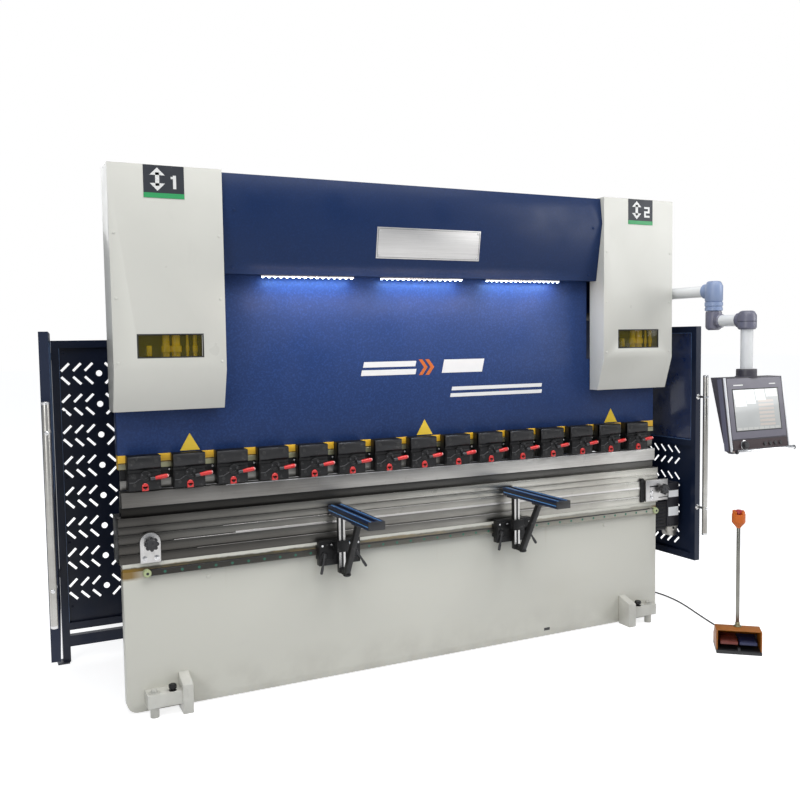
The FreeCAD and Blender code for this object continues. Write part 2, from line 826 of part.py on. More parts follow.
def sheet_support(side, x):
    """A carriage on the rail, and the post, brace and arm that slide up and down in it."""
    gap = s.slide_gap
    rail_low = rail_top - s.rail_high
    plate_low = rail_low - 50
    plate_y = face - s.rail_thick - gap - s.carriage_thick
    plate = block("carriage_plate_" + side, x - s.carriage_wide / 2, plate_y, plate_low,
                  s.carriage_wide, s.carriage_thick, s.carriage_high)
    upper = block("carriage_upper_" + side, x - s.carriage_wide / 2, plate_y + s.carriage_thick,
                  rail_top + gap, s.carriage_wide, s.rail_thick * 0.8, 22)
    lower = block("carriage_lower_" + side, x - s.carriage_wide / 2, plate_y + s.carriage_thick,
                  rail_low - gap - 22, s.carriage_wide, s.rail_thick * 0.8, 22)
    jaw_y = plate_y - s.post_wide - s.jaw_wall
    jaw_low = plate_low + s.carriage_high - s.jaw_high
    jaw = block("jaw_block_" + side, x - s.post_wide / 2 - s.jaw_wall, jaw_y, jaw_low,
                s.post_wide + 2 * s.jaw_wall, s.post_wide + s.jaw_wall, s.jaw_high)
    slot = block("jaw_slot_" + side, x - s.post_wide / 2 - gap, jaw_y + s.jaw_wall - gap,
                 jaw_low - 1, s.post_wide + 2 * gap, s.post_wide + gap, s.jaw_high + 2)
    keep("support_carriage_" + side,
         cut("support_carriage_" + side, fuse("carriage_solid_" + side, plate, upper, lower, jaw),
             slot))
    post_y = jaw_y + s.jaw_wall
    post_low = plate_low - s.post_drop
    post = block("post_" + side, x - s.post_wide / 2, post_y, post_low, s.post_wide,
                 s.post_wide - gap, s.post_length)
    arm_low = post_low + s.post_length
    foot_top = post_low + 26
    top_y = face - s.brace_top_ahead
    low_y = face - s.brace_low_ahead
    outline = [(post_y, post_low), (post_y, foot_top), (low_y + s.brace_thick, foot_top),
               (top_y + s.brace_thick, arm_low), (top_y, arm_low), (low_y, post_low + 10),
               (low_y + 8, post_low)]
    brace = prism("brace_" + side, "yz", outline, x - s.brace_wide / 2, s.brace_wide)
    keep("support_post_" + side, fuse("support_post_" + side, post, brace))
    arm_back = face - s.support_arm_gap
    arm = block("arm_" + side, x - s.arm_wide / 2, arm_back - s.arm_length, arm_low, s.arm_wide,
                s.arm_length, s.arm_high)
    channel = block("arm_channel_" + side, x - 9, arm_back - s.arm_length + 20,
                    arm_low + s.arm_high - 10, 18, s.arm_length, 11)
    keep("support_arm_" + side, cut("support_arm_" + side, arm, channel))


def chevron(name, plane, root, across, z, lean):
    """The two sloping slots of one chevron, its point on the leaning side, as cutting boxes."""
    tools = []
    for arm in (1, -1):
        turn = math.degrees(math.atan2(arm, -lean))
        tool = doc.addObject("Part::Box", "%s_%s" % (name, "up" if arm > 0 else "down"))
        along_x = plane == "xz"
        bind(tool, "Length" if along_x else "Width", s.slot_long)
        bind(tool, "Width" if along_x else "Length", s.guard_bar)
        bind(tool, "Height", s.slot_wide)
        axis = FreeCAD.Vector(0, -1, 0) if along_x else FreeCAD.Vector(1, 0, 0)
        tool.Placement = FreeCAD.Placement(FreeCAD.Vector(), FreeCAD.Rotation(axis, turn))
        half = s.slot_wide * math.sqrt(0.5) / 2
        start = root + half * arm
        low = z + s.slot_split / 2 * arm + half * lean
        if along_x:
            place(tool, start, across, low)
        else:
            place(tool, across, start, low)
        tools.append(tool)
    return tools


def fixed_guard(side, sign):
    """The framed, slotted panel beside the frame, square to the machine's side."""
    bar = s.guard_bar
    inner_x = frame_outer
    outer_x = guard_half
    y = guard_y
    parts = [
        block("guard_post_" + side, outer_x - bar, y, 0, bar, bar, s.guard_top),
        block("guard_head_" + side, inner_x, y, s.guard_top - bar, outer_x - inner_x - bar, bar, bar),
        block("guard_sill_" + side, inner_x, y, s.guard_sheet_low - bar, outer_x - inner_x - bar, bar, bar),
        block("guard_rail_" + side, inner_x, y, s.guard_rail_low, outer_x - inner_x - bar, bar, 60),
    ]
    sheet_plate = block("guard_sheet_" + side, inner_x, y + bar / 2, s.guard_sheet_low,
                        outer_x - inner_x - bar, s.guard_sheet, s.guard_top - bar - s.guard_sheet_low)
    tools = []
    middle = inner_x + s.slot_middle
    for row in range(int(SIZES["slot_rows"])):
        z = s.slot_top_row - s.slot_row * row
        tools.append(block("guard_round_%s_%d" % (side, row), middle - s.slot_round / 2, y,
                           z - s.slot_round / 2, s.slot_round, bar, s.slot_round))
        for column, lean in ((1, 1), (2, 1), (3, 1), (1, -1), (2, -1)):
            root = middle + lean * (s.slot_first + s.slot_column * (column - 1))
            name = "guard_slot_%s_%d_%d_%s" % (side, row, column, "out" if lean > 0 else "in")
            tools += chevron(name, "xz", root, y, z, lean)
    slotted = cut("guard_slotted_" + side, sheet_plate, *tools)
    knuckles = []
    for index, z in enumerate((s.leaf_low + s.hinge_inset, s.leaf_low + s.leaf_rise - s.hinge_inset)):
        axis_x = guard_half + s.leaf_hinge_gap
        axis_y = guard_y - 30
        knuckles.append(rod("knuckle_%s_%d" % (side, index), axis_x, axis_y, z, s.hinge_out / 2,
                            s.hinge_high / 2))
        knuckles.append(block("knuckle_leaf_%s_%d" % (side, index), guard_half - 6, axis_y, z,
                              s.leaf_hinge_gap + 6, 36, s.hinge_high / 2))
    return fuse("guard_panel_whole_" + side, slotted, *(parts + knuckles))


def guards():
    right = fixed_guard("right", 1)
    keep("guard_panel_right", right)
    keep("guard_panel_left", mirrored("guard_panel_left", fixed_guard("left", 1)))


def leaf(side, sign):
    """A door leaf, made closed with its hinge on the Z axis, then turned and set on its hinge."""
    bar = s.guard_bar
    length = s.leaf_length
    start = -s.leaf_hinge_gap
    high = s.leaf_rise
    half = bar / 2
    mid = s.leaf_mid - s.leaf_low
    parts = [
        block("leaf_root_" + side, -half, start - bar, 0, bar, bar, high),
        block("leaf_nose_" + side, -half, start - length, 0, bar, bar, high),
        block("leaf_head_" + side, -half, start - length + bar, high - bar, bar, length - 2 * bar, bar),
        block("leaf_sill_" + side, -half, start - length + bar, 0, bar, length - 2 * bar, bar),
        block("leaf_rail_" + side, -half, start - length + bar, mid - half, bar, length - 2 * bar, bar),
    ]
    plate = block("leaf_sheet_" + side, -s.guard_sheet / 2, start - length + bar, bar, s.guard_sheet,
                  length - 2 * bar, mid - half - bar)
    tools = []
    middle = start - length / 2
    for row in range(int(SIZES["leaf_rows"])):
        z = s.leaf_top_row - s.slot_row * row - s.leaf_low
        tools.append(block("leaf_round_%s_%d" % (side, row), -half, middle - s.slot_round / 2,
                           z - s.slot_round / 2, bar, s.slot_round, s.slot_round))
        for column in range(1, 6):
            for lean in (1, -1):
                root = middle + lean * (s.slot_first + s.slot_column * (column - 1))
                name = "leaf_slot_%s_%d_%d_%s" % (side, row, column, "rear" if lean > 0 else "front")
                tools += chevron(name, "yz", root, -half, z, lean)
    slotted = cut("leaf_slotted_" + side, plate, *tools)
    knuckles = []
    for index, z in enumerate((s.hinge_inset, high - s.hinge_inset)):
        low = z + s.hinge_high / 2 + 0.3
        knuckles.append(rod("leaf_knuckle_%s_%d" % (side, index), 0, 0, low, s.hinge_out / 2,
                            s.hinge_high / 2))
        knuckles.append(block("leaf_strap_%s_%d" % (side, index), -4, start - 6, low, 8,
                              s.leaf_hinge_gap + 6, s.hinge_high / 2))
    frame = fuse("guard_door_" + side, slotted, *(parts + knuckles))
    glass = block("guard_glass_" + side, -s.guard_sheet, start - length + bar, mid + half,
                  2 * s.guard_sheet, length - 2 * bar, high - bar - mid - half)
    pane = group("guard_pane_" + side, [glass])
    nose_y = start - length
    bar_y = nose_y - s.handle_gap
    handle_z = s.handle_low - s.leaf_low
    tube = rod("handle_tube_" + side, 0, bar_y, handle_z, s.handle_out / 2, s.handle_rise)
    studs = [rod("handle_stud_%s_%d" % (side, index), 0, bar_y, handle_z + rise, s.handle_stud / 2,
                 s.handle_gap, "y")
             for index, rise in enumerate((s.handle_stud_low, s.handle_stud_low + s.handle_stud_pitch))]
    handle = fuse("guard_handle_" + side, tube, *studs)
    angle = s.left_leaf_angle if sign < 0 else s.right_leaf_angle
    for node, piece in (("guard_door_", frame), ("guard_pane_", pane), ("guard_handle_", handle)):
        piece.Placement = FreeCAD.Placement(
            FreeCAD.Vector(), FreeCAD.Rotation(FreeCAD.Vector(0, 0, sign), 1))
        bind(piece, "Placement.Rotation.Angle", angle)
        place(piece, sign * (guard_half + s.leaf_hinge_gap), guard_y - 30, s.leaf_low)
        keep(node + side, piece)


def pendant_arm():
    tube = s.arm_tube / 2
    elbow = s.elbow_out / 2
    elbow_y = face - s.elbow_ahead
    root_y = face + s.cover_flank_out - s.arm_tube
    high = s.arm_axis_high
    flange = block("arm_flange", cover_half, root_y - 60, high - 70, 12, 120, 140)
    knee = block("arm_knee", cover_half + 12, root_y - tube, high - tube, arm_x - cover_half - 12 + tube,
                 2 * tube, 2 * tube)
    run = rod("arm_upper_tube", arm_x, elbow_y, high, tube, root_y - elbow_y, "y")
    bend = rod("arm_elbow_body", arm_x, elbow_y, high - s.elbow_drop + elbow + 6, elbow,
               s.elbow_drop - 6)
    keep("pendant_arm_upper", fuse("pendant_arm_upper", flange, knee, run, bend))
    low = high - s.elbow_drop
    swivel = rod("arm_swivel", arm_x, elbow_y, low - elbow, elbow * 0.9, 2 * elbow + 5.7)
    reach = rod("arm_lower_tube", arm_x, elbow_y - s.arm_swing, low, tube, s.arm_swing, "y")
    corner = rod("arm_corner", arm_x, elbow_y - s.arm_swing, low - elbow, elbow, 2 * elbow)
    drop = rod("arm_drop_tube", arm_x, elbow_y - s.arm_swing, low - s.tail_tube_drop, tube,
               s.tail_tube_drop)
    keep("pendant_arm_lower", fuse("pendant_arm_lower", swivel, reach, corner, drop))
    head_y = elbow_y - s.arm_swing
    collar_low = low - s.tail_tube_drop - s.collar_high
    collar = rod("pendant_collar", arm_x, head_y, collar_low, s.collar_out / 2,
                 s.collar_high - 0.3)
    top = collar_low
    bottom = top - s.pendant_high
    front_top = head_y - s.pendant_deep / 2
    front_low = front_top - s.pendant_lean
    outline = [(front_top, top), (front_top + s.pendant_deep, top),
               (front_low + s.pendant_foot_deep + 20, bottom + 60), (front_low + s.pendant_foot_deep, bottom + 10),
               (front_low + s.pendant_foot_deep - 20, bottom), (front_low, bottom)]
    shell = prism("pendant_shell", "yz", outline, arm_x - s.pendant_wide / 2, s.pendant_wide)
    keep("pendant_housing", fuse("pendant_housing", shell, collar))
    screen_top = top - s.screen_drop
    lean = s.pendant_lean / s.pendant_high
    near = 1.5
    top_y = front_top - lean * s.screen_drop
    low_y = front_top - lean * (s.screen_drop + s.screen_high)
    glass = [(top_y, screen_top), (top_y - near, screen_top), (low_y - near, screen_top - s.screen_high),
             (low_y, screen_top - s.screen_high)]
    keep("pendant_screen", prism("pendant_screen", "yz", glass, arm_x - s.screen_wide / 2,
                                 s.screen_wide))
    grip_z = bottom + 14
    grip_y = front_low - s.grip_ahead
    bar = rod("pendant_grip_bar", arm_x - s.pendant_wide / 2, grip_y, grip_z, s.grip_out / 2,
              s.pendant_wide, "x")
    ends = [block("pendant_grip_end_%d" % index, x, grip_y, grip_z - 8, 12, s.grip_ahead, 16)
            for index, x in enumerate((arm_x - s.pendant_wide / 2, arm_x + s.pendant_wide / 2 - 12))]
    keep("pendant_handle", fuse("pendant_handle", bar, *ends))


def pedal_station():
    """The foot station, made square at its own centre, then turned and set on the floor."""
    wide = s.pedal_wide
    deep = s.pedal_deep
    wall = s.pedal_hood_wall
    base = block("pedal_base", -wide / 2, -deep / 2, 0, wide, deep, s.pedal_plate)
    hood_low = s.pedal_plate
    outline = [(-deep / 2 + 10, hood_low), (-deep / 2 + 10, s.pedal_hood_high - 30),
               (-deep / 2 + 20, s.pedal_hood_high), (s.pedal_roof_back, s.pedal_hood_high),
               (deep / 2, s.pedal_hood_high - 69), (deep / 2, hood_low)]
    shell = prism("pedal_hood_solid", "yz", outline, -wide / 2, wide)
    room = [(-deep / 2, hood_low - 1), (-deep / 2, s.pedal_hood_high - wall),
            (s.pedal_roof_back - 3, s.pedal_hood_high - wall), (deep / 2 - wall, s.pedal_hood_high - 73),
            (deep / 2 - wall, hood_low - 1)]
    space = prism("pedal_hood_room", "yz", room, -wide / 2 + wall, wide - 2 * wall)
    hood_shell = cut("pedal_hood", shell, space)
    column = rod("pedal_column", 0, 0, s.pedal_hood_high, s.stand_out / 2, s.stand_high - s.pedal_hood_high)
    head_top = s.stand_high + s.stop_box_high
    well_low = head_top - s.stop_well
    head = rod("stop_head", 0, 0, s.stand_high, s.stop_box / 2, s.stop_box_high)
    well = rod("stop_well", 0, 0, well_low, s.stop_head / 2 + 6, s.stop_well + 1)
    socket = rod("stop_socket", 0, 0, well_low - s.stop_head / 2, s.stop_stem / 2 + s.pin_play,
                 s.stop_head)
    housing = cut("stop_box", head, well, socket)
    stem = rod("stop_stem", 0, 0, well_low - s.stop_head / 4, s.stop_stem / 2, s.stop_head)
    cap_low = well_low + 2 * s.stop_travel
    cap = rod("stop_cap", 0, 0, cap_low, s.stop_head / 2, s.stop_well)
    pieces = {"pedal_hood": hood_shell, "pedal_column": column, "stop_housing": housing,
              "stop_button": fuse("stop_button_solid", cap, stem)}
    treadle_low = s.treadle_high - s.treadle_thick
    pin_y = deep / 2 - wall - s.treadle_eye
    pin_z = treadle_low + s.treadle_thick / 2
    hole = s.treadle_pin / 2 + s.pin_play
    for side, sign in (("left", -1), ("right", 1)):
        x = sign * (s.treadle_wide / 2 + s.treadle_gap / 2) - s.treadle_wide / 2
        plate = block("treadle_plate_" + side, x, pin_y - s.treadle_long, treadle_low,
                      s.treadle_wide, s.treadle_long, s.treadle_thick)
        eye = rod("treadle_eye_" + side, x, pin_y, pin_z, s.treadle_eye / 2, s.treadle_wide, "x")
        bore = rod("treadle_bore_" + side, x - 1, pin_y, pin_z, hole, s.treadle_wide + 2, "x")
        pieces["pedal_" + side] = cut("treadle_" + side, fuse("treadle_solid_" + side, plate, eye),
                                      bore)
    inner = wide / 2 - wall
    posts = [block("pedal_post_%d" % index, x, pin_y - 8, 0, 8, 16, pin_z + 12)
             for index, x in enumerate((-inner + 1, inner - 9))]
    pin = rod("pedal_pin", -inner + 1, pin_y, pin_z, s.treadle_pin / 2, 2 * inner - 2, "x")
    pieces["pedal_base"] = fuse("pedal_base_solid", base, pin, *posts)
    for node, piece in pieces.items():
        turn = FreeCAD.Rotation(FreeCAD.Vector(0, 0, -1), 1)
        wrap = doc.addObject("Part::Compound", node + "_set")
        wrap.Links = [piece]
        wrap.Placement = FreeCAD.Placement(FreeCAD.Vector(), turn)
        bind(wrap, "Placement.Rotation.Angle", s.pedal_turn)
        place(wrap, s.pedal_x, face - s.pedal_ahead, 0)
        keep(node, wrap)


def cord_path(points):
    """Straight runs through the points, joined by arcs that touch both runs."""
    edges = []
    start = points[0]
    radii = []
    for before, corner, after in zip(points, points[1:], points[2:]):
        into = before - corner
        onward = after - corner
        bend = math.pi - into.getAngle(onward)
        setback = 0.45 * min(into.Length, onward.Length)
        radii.append(setback / math.tan(bend / 2))
        into.normalize()
        onward.normalize()
        first = corner + into * setback
        last = corner + onward * setback
        middle_way = into + onward
        middle_way.normalize()
        reach = radii[-1] / math.cos(bend / 2)
        top = corner + middle_way * (reach - radii[-1])
        edges.append(Part.makeLine(start, first))
        edges.append(Part.Arc(first, top, last).toShape())
        start = last
    edges.append(Part.makeLine(start, points[-1]))
    return Part.Wire(edges), radii


def pedal_cord():
    """The lead of the foot station, over the floor and into the right frame."""
    lie = SIZES["lead_out"] / 2 + SIZES["lead_lift"]
    face_at = face.value
    turn = math.radians(SIZES["pedal_turn"])
    rear_x = SIZES["pedal_x"] + math.sin(turn) * SIZES["pedal_deep"] / 2
    rear_y = face_at - SIZES["pedal_ahead"] + math.cos(turn) * SIZES["pedal_deep"] / 2
    points = []
    off = SIZES["lead_room"]
    points.append(FreeCAD.Vector(rear_x + off * math.sin(turn), rear_y + off * math.cos(turn), 42))
    for x, y, z in LEAD_ROUTE:
        points.append(FreeCAD.Vector(x, y + face_at, z or lie))
    points.append(FreeCAD.Vector(frame_outer.value + off, face_at + SIZES["gland_back"],
                                 SIZES["gland_high"]))
    wire, radii = cord_path(points)
    radius = SIZES["lead_out"] / 2
    direction = points[1] - points[0]
    run = [round(a.distanceToPoint(b)) for a, b in zip(points, points[1:])]
    print("lead runs", run, "ends", points[0], points[-1])
    profile = Part.Wire([Part.makeCircle(radius, points[0], direction)])
    tube = wire.makePipeShell([profile], True, True)
    lead = doc.addObject("Part::Feature", "pedal_cord")
    lead.Shape = tube
    keep("pedal_cord", lead)
    wanted = math.pi * radius * radius * wire.Length
    print("cord radii %.0f to %.0f, volume ratio %.4f" % (min(radii), max(radii),
                                                          tube.Volume / wanted))


apron()
table()
tooling_below()
ram()
clamps()
side_frames()
feet()
cylinders()
covers()
hood()
rear_parts()
rail_and_brackets()
sheet_support("left", s.support_left_x)
sheet_support("right", s.support_right_x)
guards()
leaf("left", -1)
leaf("right", 1)
pendant_arm()
pedal_station()
pedal_cord()

doc.recompute()
for thing in doc.Objects:
    if "Invalid" in thing.State or "Error" in thing.State:
        raise RuntimeError("%s did not build: %s" % (thing.Name, thing.State))
os.makedirs("parts", exist_ok=True)
for node, piece in nodes.items():
    shape = piece.Shape
    if shape.isNull() or not shape.isValid():
        raise RuntimeError("%s has no good shape" % node)
for node, piece in nodes.items():
    piece.Shape.exportStep("parts/%s.step" % node)
    print("%-26s solids %2d  volume %.5f m3" % (node, len(piece.Shape.Solids), piece.Shape.Volume / 1e9))
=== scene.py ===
# The looks of a hydraulic press brake, laid over its fixed frame, in the frame's own axes.
# Pieces are drawn in millimetres. Camera, finishes, lamps and the lead are in metres.
import json
import math
import bpy
from mathutils import Matrix, Vector


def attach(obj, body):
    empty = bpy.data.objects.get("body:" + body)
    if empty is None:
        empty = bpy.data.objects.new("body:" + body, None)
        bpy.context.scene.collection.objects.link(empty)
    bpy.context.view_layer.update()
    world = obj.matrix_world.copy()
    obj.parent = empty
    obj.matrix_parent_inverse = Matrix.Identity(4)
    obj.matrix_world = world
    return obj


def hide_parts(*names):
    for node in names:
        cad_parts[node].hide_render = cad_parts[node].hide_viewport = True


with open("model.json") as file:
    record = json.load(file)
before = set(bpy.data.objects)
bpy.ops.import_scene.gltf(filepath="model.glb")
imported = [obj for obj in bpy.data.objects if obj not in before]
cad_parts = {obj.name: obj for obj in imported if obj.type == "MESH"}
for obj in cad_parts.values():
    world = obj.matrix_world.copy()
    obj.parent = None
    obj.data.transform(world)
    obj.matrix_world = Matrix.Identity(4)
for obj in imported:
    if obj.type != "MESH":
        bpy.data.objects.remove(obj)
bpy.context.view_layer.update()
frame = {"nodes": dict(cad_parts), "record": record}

CAMERA_AT = (-2.2099, -4.9648, 1.7499)
YAW, PITCH, ROLL = -25.8805, -3.8791, -0.8066  # degrees
PHOTO_WIDTH, FOCAL = 800, 890.998  # pixels
FACE = -730  # the bed's front
RAIL_FACE = FACE - 22
RAM_FACE = FACE + 31
LIGHT_STRIPS = (-660, -22, 616)  # their middles across
LEFT_LEAF, RIGHT_LEAF = -5, 1.4  # degrees that the leaves stand off square
CARRIERS = {node: body for body, nodes in frame["record"]["behaviour"]["bodies"].items() for node in nodes}


# Camera at the photograph's angle
def set_camera():
    data = bpy.data.cameras.new("view")
    data.sensor_width = 36
    data.lens = data.sensor_width * FOCAL / PHOTO_WIDTH
    data.clip_end = 200
    camera = bpy.data.objects.new("view", data)
    bpy.context.scene.collection.objects.link(camera)
    turn = (Matrix.Rotation(math.radians(YAW), 4, "Z")
            @ Matrix.Rotation(math.radians(90 + PITCH), 4, "X")
            @ Matrix.Rotation(math.radians(ROLL), 4, "Z"))
    camera.matrix_world = Matrix.Translation(CAMERA_AT) @ turn
    bpy.context.scene.camera = camera


# Shader sums, built as nodes
class Wire:
    """A shader value that takes part in sums."""

    def __init__(self, finish, socket):
        self.finish = finish
        self.socket = socket

    def sum(self, operation, first, second):
        return self.finish.add("ShaderNodeMath", {"operation": operation}, first, second)

    def __add__(self, other):
        return self.sum("ADD", self, other)

    def __sub__(self, other):
        return self.sum("SUBTRACT", self, other)

    def __mul__(self, other):
        return self.sum("MULTIPLY", self, other)

    def clip(self, low, high, to_low=0, to_high=1):
        """The value spread from one span onto another, and held inside it."""
        return self.finish.add("ShaderNodeMapRange", {"clamp": True}, self, low, high, to_low, to_high)


class Finish:
    """One surface finish, built up node by node."""

    def __init__(self, name, colour, rough, metal=0, **fixed):
        self.material = bpy.data.materials.new(name)
        self.material.use_nodes = True
        self.tree = self.material.node_tree
        self.shader = self.tree.nodes["Principled BSDF"]
        self.set("Base Color", (*colour, 1))
        self.set("Roughness", rough)
        self.set("Metallic", metal)
        for word, value in fixed.items():
            self.set(word.replace("_", " "), value)
        self.place = self.tree.nodes.new("ShaderNodeTexCoord").outputs["Object"]

    def set(self, word, value):
        self.feed(self.shader.inputs[word], value)

    def feed(self, socket, value):
        if isinstance(value, Wire):
            self.tree.links.new(value.socket, socket)
        elif value is not None:
            socket.default_value = value

    def add(self, kind, settings, *values, out=0, **named):
        node = self.tree.nodes.new(kind)
        for word, value in settings.items():
            setattr(node, word, value)
        for socket, value in zip(node.inputs, values):
            self.feed(socket, value)
        for word, value in named.items():
            self.feed(node.inputs[word], value)
        return Wire(self, node.outputs[out])

    def spot(self, stretch):
        return self.add("ShaderNodeMapping", {}, Wire(self, self.place), Scale=stretch)

    def axis(self, letter):
        return self.add("ShaderNodeSeparateXYZ", {}, Wire(self, self.place), out="XYZ".index(letter))

    def noise(self, scale, detail, rough=0.55, stretch=(1, 1, 1)):
        return self.add("ShaderNodeTexNoise", {}, Vector=self.spot(stretch), Scale=scale, Detail=detail,
                        Roughness=rough)

    def mix(self, factor, first, second):
        node = self.tree.nodes.new("ShaderNodeMix")
        node.data_type = "RGBA"
        self.feed(node.inputs[0], factor)
        for index, tone in ((6, first), (7, second)):
            self.feed(node.inputs[index], tone if isinstance(tone, Wire) else (*tone, 1))
        return Wire(self, node.outputs[2])

    def bump(self, height, depth, strength):
        self.set("Normal", self.add("ShaderNodeBump", {}, Strength=strength, Distance=depth, Height=height))

    def peel(self, strength):
        """The orange peel of a sprayed coat."""
        self.bump(self.noise(260, 2) + self.noise(900, 1) * 0.3, 0.0004, strength)


def tint(colour, factor):
    return tuple(min(1, channel * factor) for channel in colour)


# Finishes
def paint(name, colour, rough, peel, soil, coat, low=0, shine=0.5, fleck=0):
    """Sprayed enamel: orange peel, cloudy tone, handling marks, and dust near the floor."""
    f = Finish(name, colour, rough, 0, Coat_Weight=coat, Coat_Roughness=0.18, Specular_IOR_Level=shine)
    cloud = f.noise(1.7, 4).clip(0.35, 0.7)
    marks = f.noise(9, 6, 0.7, (1, 1, 0.35)).clip(0.58, 0.78)
    tone = f.mix(cloud * 0.5, colour, tint(colour, 0.88))
    tone = f.mix(marks * soil, tone, tint(colour, 0.62))
    if fleck:
        tone = f.mix(f.noise(115, 2).clip(0.46, 0.72) * fleck, tone, tint(colour, 2.6))
    dust = f.axis("Z").clip(0, 0.45, 1, 0) * f.noise(6, 5).clip(0.4, 0.7)
    tone = f.mix(dust * (0.35 + low), tone, (0.19, 0.17, 0.14))
    f.set("Base Color", tone)
    f.set("Roughness", f.noise(5, 3).clip(0.3, 0.75, rough * 0.8, rough * 1.35) + marks * 0.12)
    f.peel(peel)
    return f.material


def oiled_enamel(name, colour):
    """Bed enamel, with the brown oil that creeps out round the rail and runs down from it; the line over the
    rail is partly oil and partly painted shadow in the seam, and fades to the right as painted light.
    """
    f = Finish(name, colour, 0.38, 0, Coat_Weight=0.25, Coat_Roughness=0.2)
    across, high = f.axis("X"), f.axis("Z")
    cloud = f.noise(1.1, 3, 0.5, (0.5, 1, 1.6)).clip(0.4, 0.75)
    tone = f.mix(cloud * 0.35, colour, tint(colour, 0.9))
    marks = f.noise(7, 5, 0.65, (0.45, 1, 1.3)).clip(0.62, 0.8)
    tone = f.mix(marks * 0.12, tone, tint(colour, 0.72))
    ragged = (f.noise(9, 5, 0.7, (1, 1, 2)) - 0.5) * 0.02
    # Partly oil, partly painted shadow: a dark line in the seam over the rail, amber in places.
    line = (high + ragged).clip(0.683, 0.687) * (high + ragged).clip(0.702, 0.709, 1, 0)
    amber = f.noise(6, 4, 0.7, (0.5, 1, 6)).clip(0.5, 0.62)
    shadow_and_oil_tone = f.mix(amber * 0.7, (0.042, 0.034, 0.014), (0.24, 0.15, 0.022))
    # The line weakens to the right: painted light, as the right end is lit brighter.
    tone = f.mix(line * across.clip(-0.9, 1.35, 0.95, 0.42), tone, shadow_and_oil_tone)
    ends = across.clip(-1.56, -1.47, 1, 0) + across.clip(1.555, 1.6)
    pool = ends * (high + ragged).clip(0.64, 0.656) * (high + ragged).clip(0.697, 0.706, 1, 0)
    tone = f.mix(pool * 0.95, tone, (0.21, 0.118, 0.01))
    runs = f.noise(1, 4, 0.6, (16, 1, 1.2)).clip(0.6, 0.72) * high.clip(0.5, 0.655)
    runs = runs * high.clip(0.655, 0.665, 1, 0)
    tone = f.mix(runs * 0.16, tone, (0.33, 0.27, 0.15))
    dust = high.clip(0, 0.22, 1, 0) * f.noise(6, 5).clip(0.4, 0.7)
    tone = f.mix(dust * 0.3, tone, (0.19, 0.17, 0.14))
    f.set("Base Color", tone)
    f.set("Roughness", marks * 0.12 - line * 0.2 + 0.38)
    f.peel(0.3)
    return f.material


def ground_steel(name, tone, rough, run, stain, tan=0, left_shade=0):
    """Planed or ground steel: fine lay along its length, oil clouds and darker stains; left_shade adds painted
    shade, darker towards the left end and in bands by height.
    """
    colour = (tone, tone * 0.985, tone * (0.97 - tan))
    f = Finish(name, colour, rough, 1)
    lay = {"x": (2, 260, 260), "z": (260, 260, 2)}[run]
    streak = f.noise(1, 5, 0.7, lay).clip(0.3, 0.7)
    cloud = f.noise(3.2, 5, 0.65, (0.6, 1, 1.6)).clip(0.42, 0.66)
    dark = f.noise(11, 6, 0.75).clip(0.6, 0.76)
    shade = f.mix(streak * 0.55, colour, tint(colour, 0.66))
    shade = f.mix(cloud * stain, shade, tint((tone, tone * 0.93, tone * 0.84), 0.55))
    shade = f.mix(dark * stain * 1.4, shade, tint(colour, 0.3))
    if left_shade:
        # Painted shade: the steel darkens towards the left end and stays lighter towards the right, as the
        # light falls along the bed.
        left_shade_mask = f.axis("X").clip(-1.7, 1.25, 1, 0) * f.noise(0.9, 2).clip(0.3, 0.7, 0.8, 1.15)
        shade = f.mix(left_shade_mask * left_shade, shade, tint((tone, tone * 0.96, tone * 0.9), 0.1))
        # Painted shade in bands by height, stronger towards the left: most on the table's lower steps, less on
        # its upper band, the die seat and the die.
        high = f.axis("Z")
        edges = high.clip(0.775, 0.845, 1, 0) * (left_shade_mask * 0.9 + 0.15)
        edges = edges + high.clip(0.85, 0.895) * (left_shade_mask * 0.28 + 0.08)
        edges = edges + high.clip(0.936, 0.94) * (left_shade_mask * 0.32 + 0.17)
        shade = f.mix(edges, shade, tint((tone, tone * 0.94, tone * 0.86), 0.1))
    f.set("Base Color", shade)
    f.set("Roughness", streak * 0.22 + cloud * 0.16 + (rough - 0.08))
    f.bump(streak, 0.0003, 0.35)
    return f.material


def black_oxide(name, tone, rough=0.42):
    """Blacked steel: oily sheen, scuffed paler where hands and tools touch it."""
    colour = (tone, tone, tone * 1.05)
    f = Finish(name, colour, rough, 0.6)
    scuff = f.noise(34, 6, 0.75).clip(0.58, 0.75)
    f.set("Base Color", f.mix(scuff * 0.5, colour, (0.17, 0.165, 0.16)))
    f.set("Roughness", f.noise(14, 4).clip(0.3, 0.7, rough * 0.75, rough * 1.3))
    f.bump(f.noise(420, 3), 0.0003, 0.3)
    return f.material


def polished(name, tone, rough):
    """Chrome or stainless bar, with faint turning marks and smears."""
    f = Finish(name, (tone, tone, tone * 1.01), rough, 1)
    smear = f.noise(7, 5, 0.6, (1, 1, 0.5)).clip(0.45, 0.7)
    rings = f.noise(1, 3, 0.6, (40, 40, 700))
    f.set("Base Color", f.mix(smear * 0.5, (tone, tone, tone * 1.01), tint((tone, tone, tone), 0.72)))
    f.set("Roughness", smear * 0.16 + rough)
    f.bump(rings, 0.0001, 0.2)
    return f.material


def plastic(name, colour, rough, grain=0.3, coat=0, wear=0.2):
    """Moulded plastic: fine grain, finger marks and a little bleaching."""
    f = Finish(name, colour, rough, 0, Coat_Weight=coat)
    smudge = f.noise(18, 5, 0.7).clip(0.5, 0.75)
    f.set("Base Color", f.mix(smudge * wear, colour, tint(colour, 0.6)))
    f.set("Roughness", smudge * 0.2 + rough * 0.9)
    f.bump(f.noise(700, 2), 0.0002, grain)
    return f.material


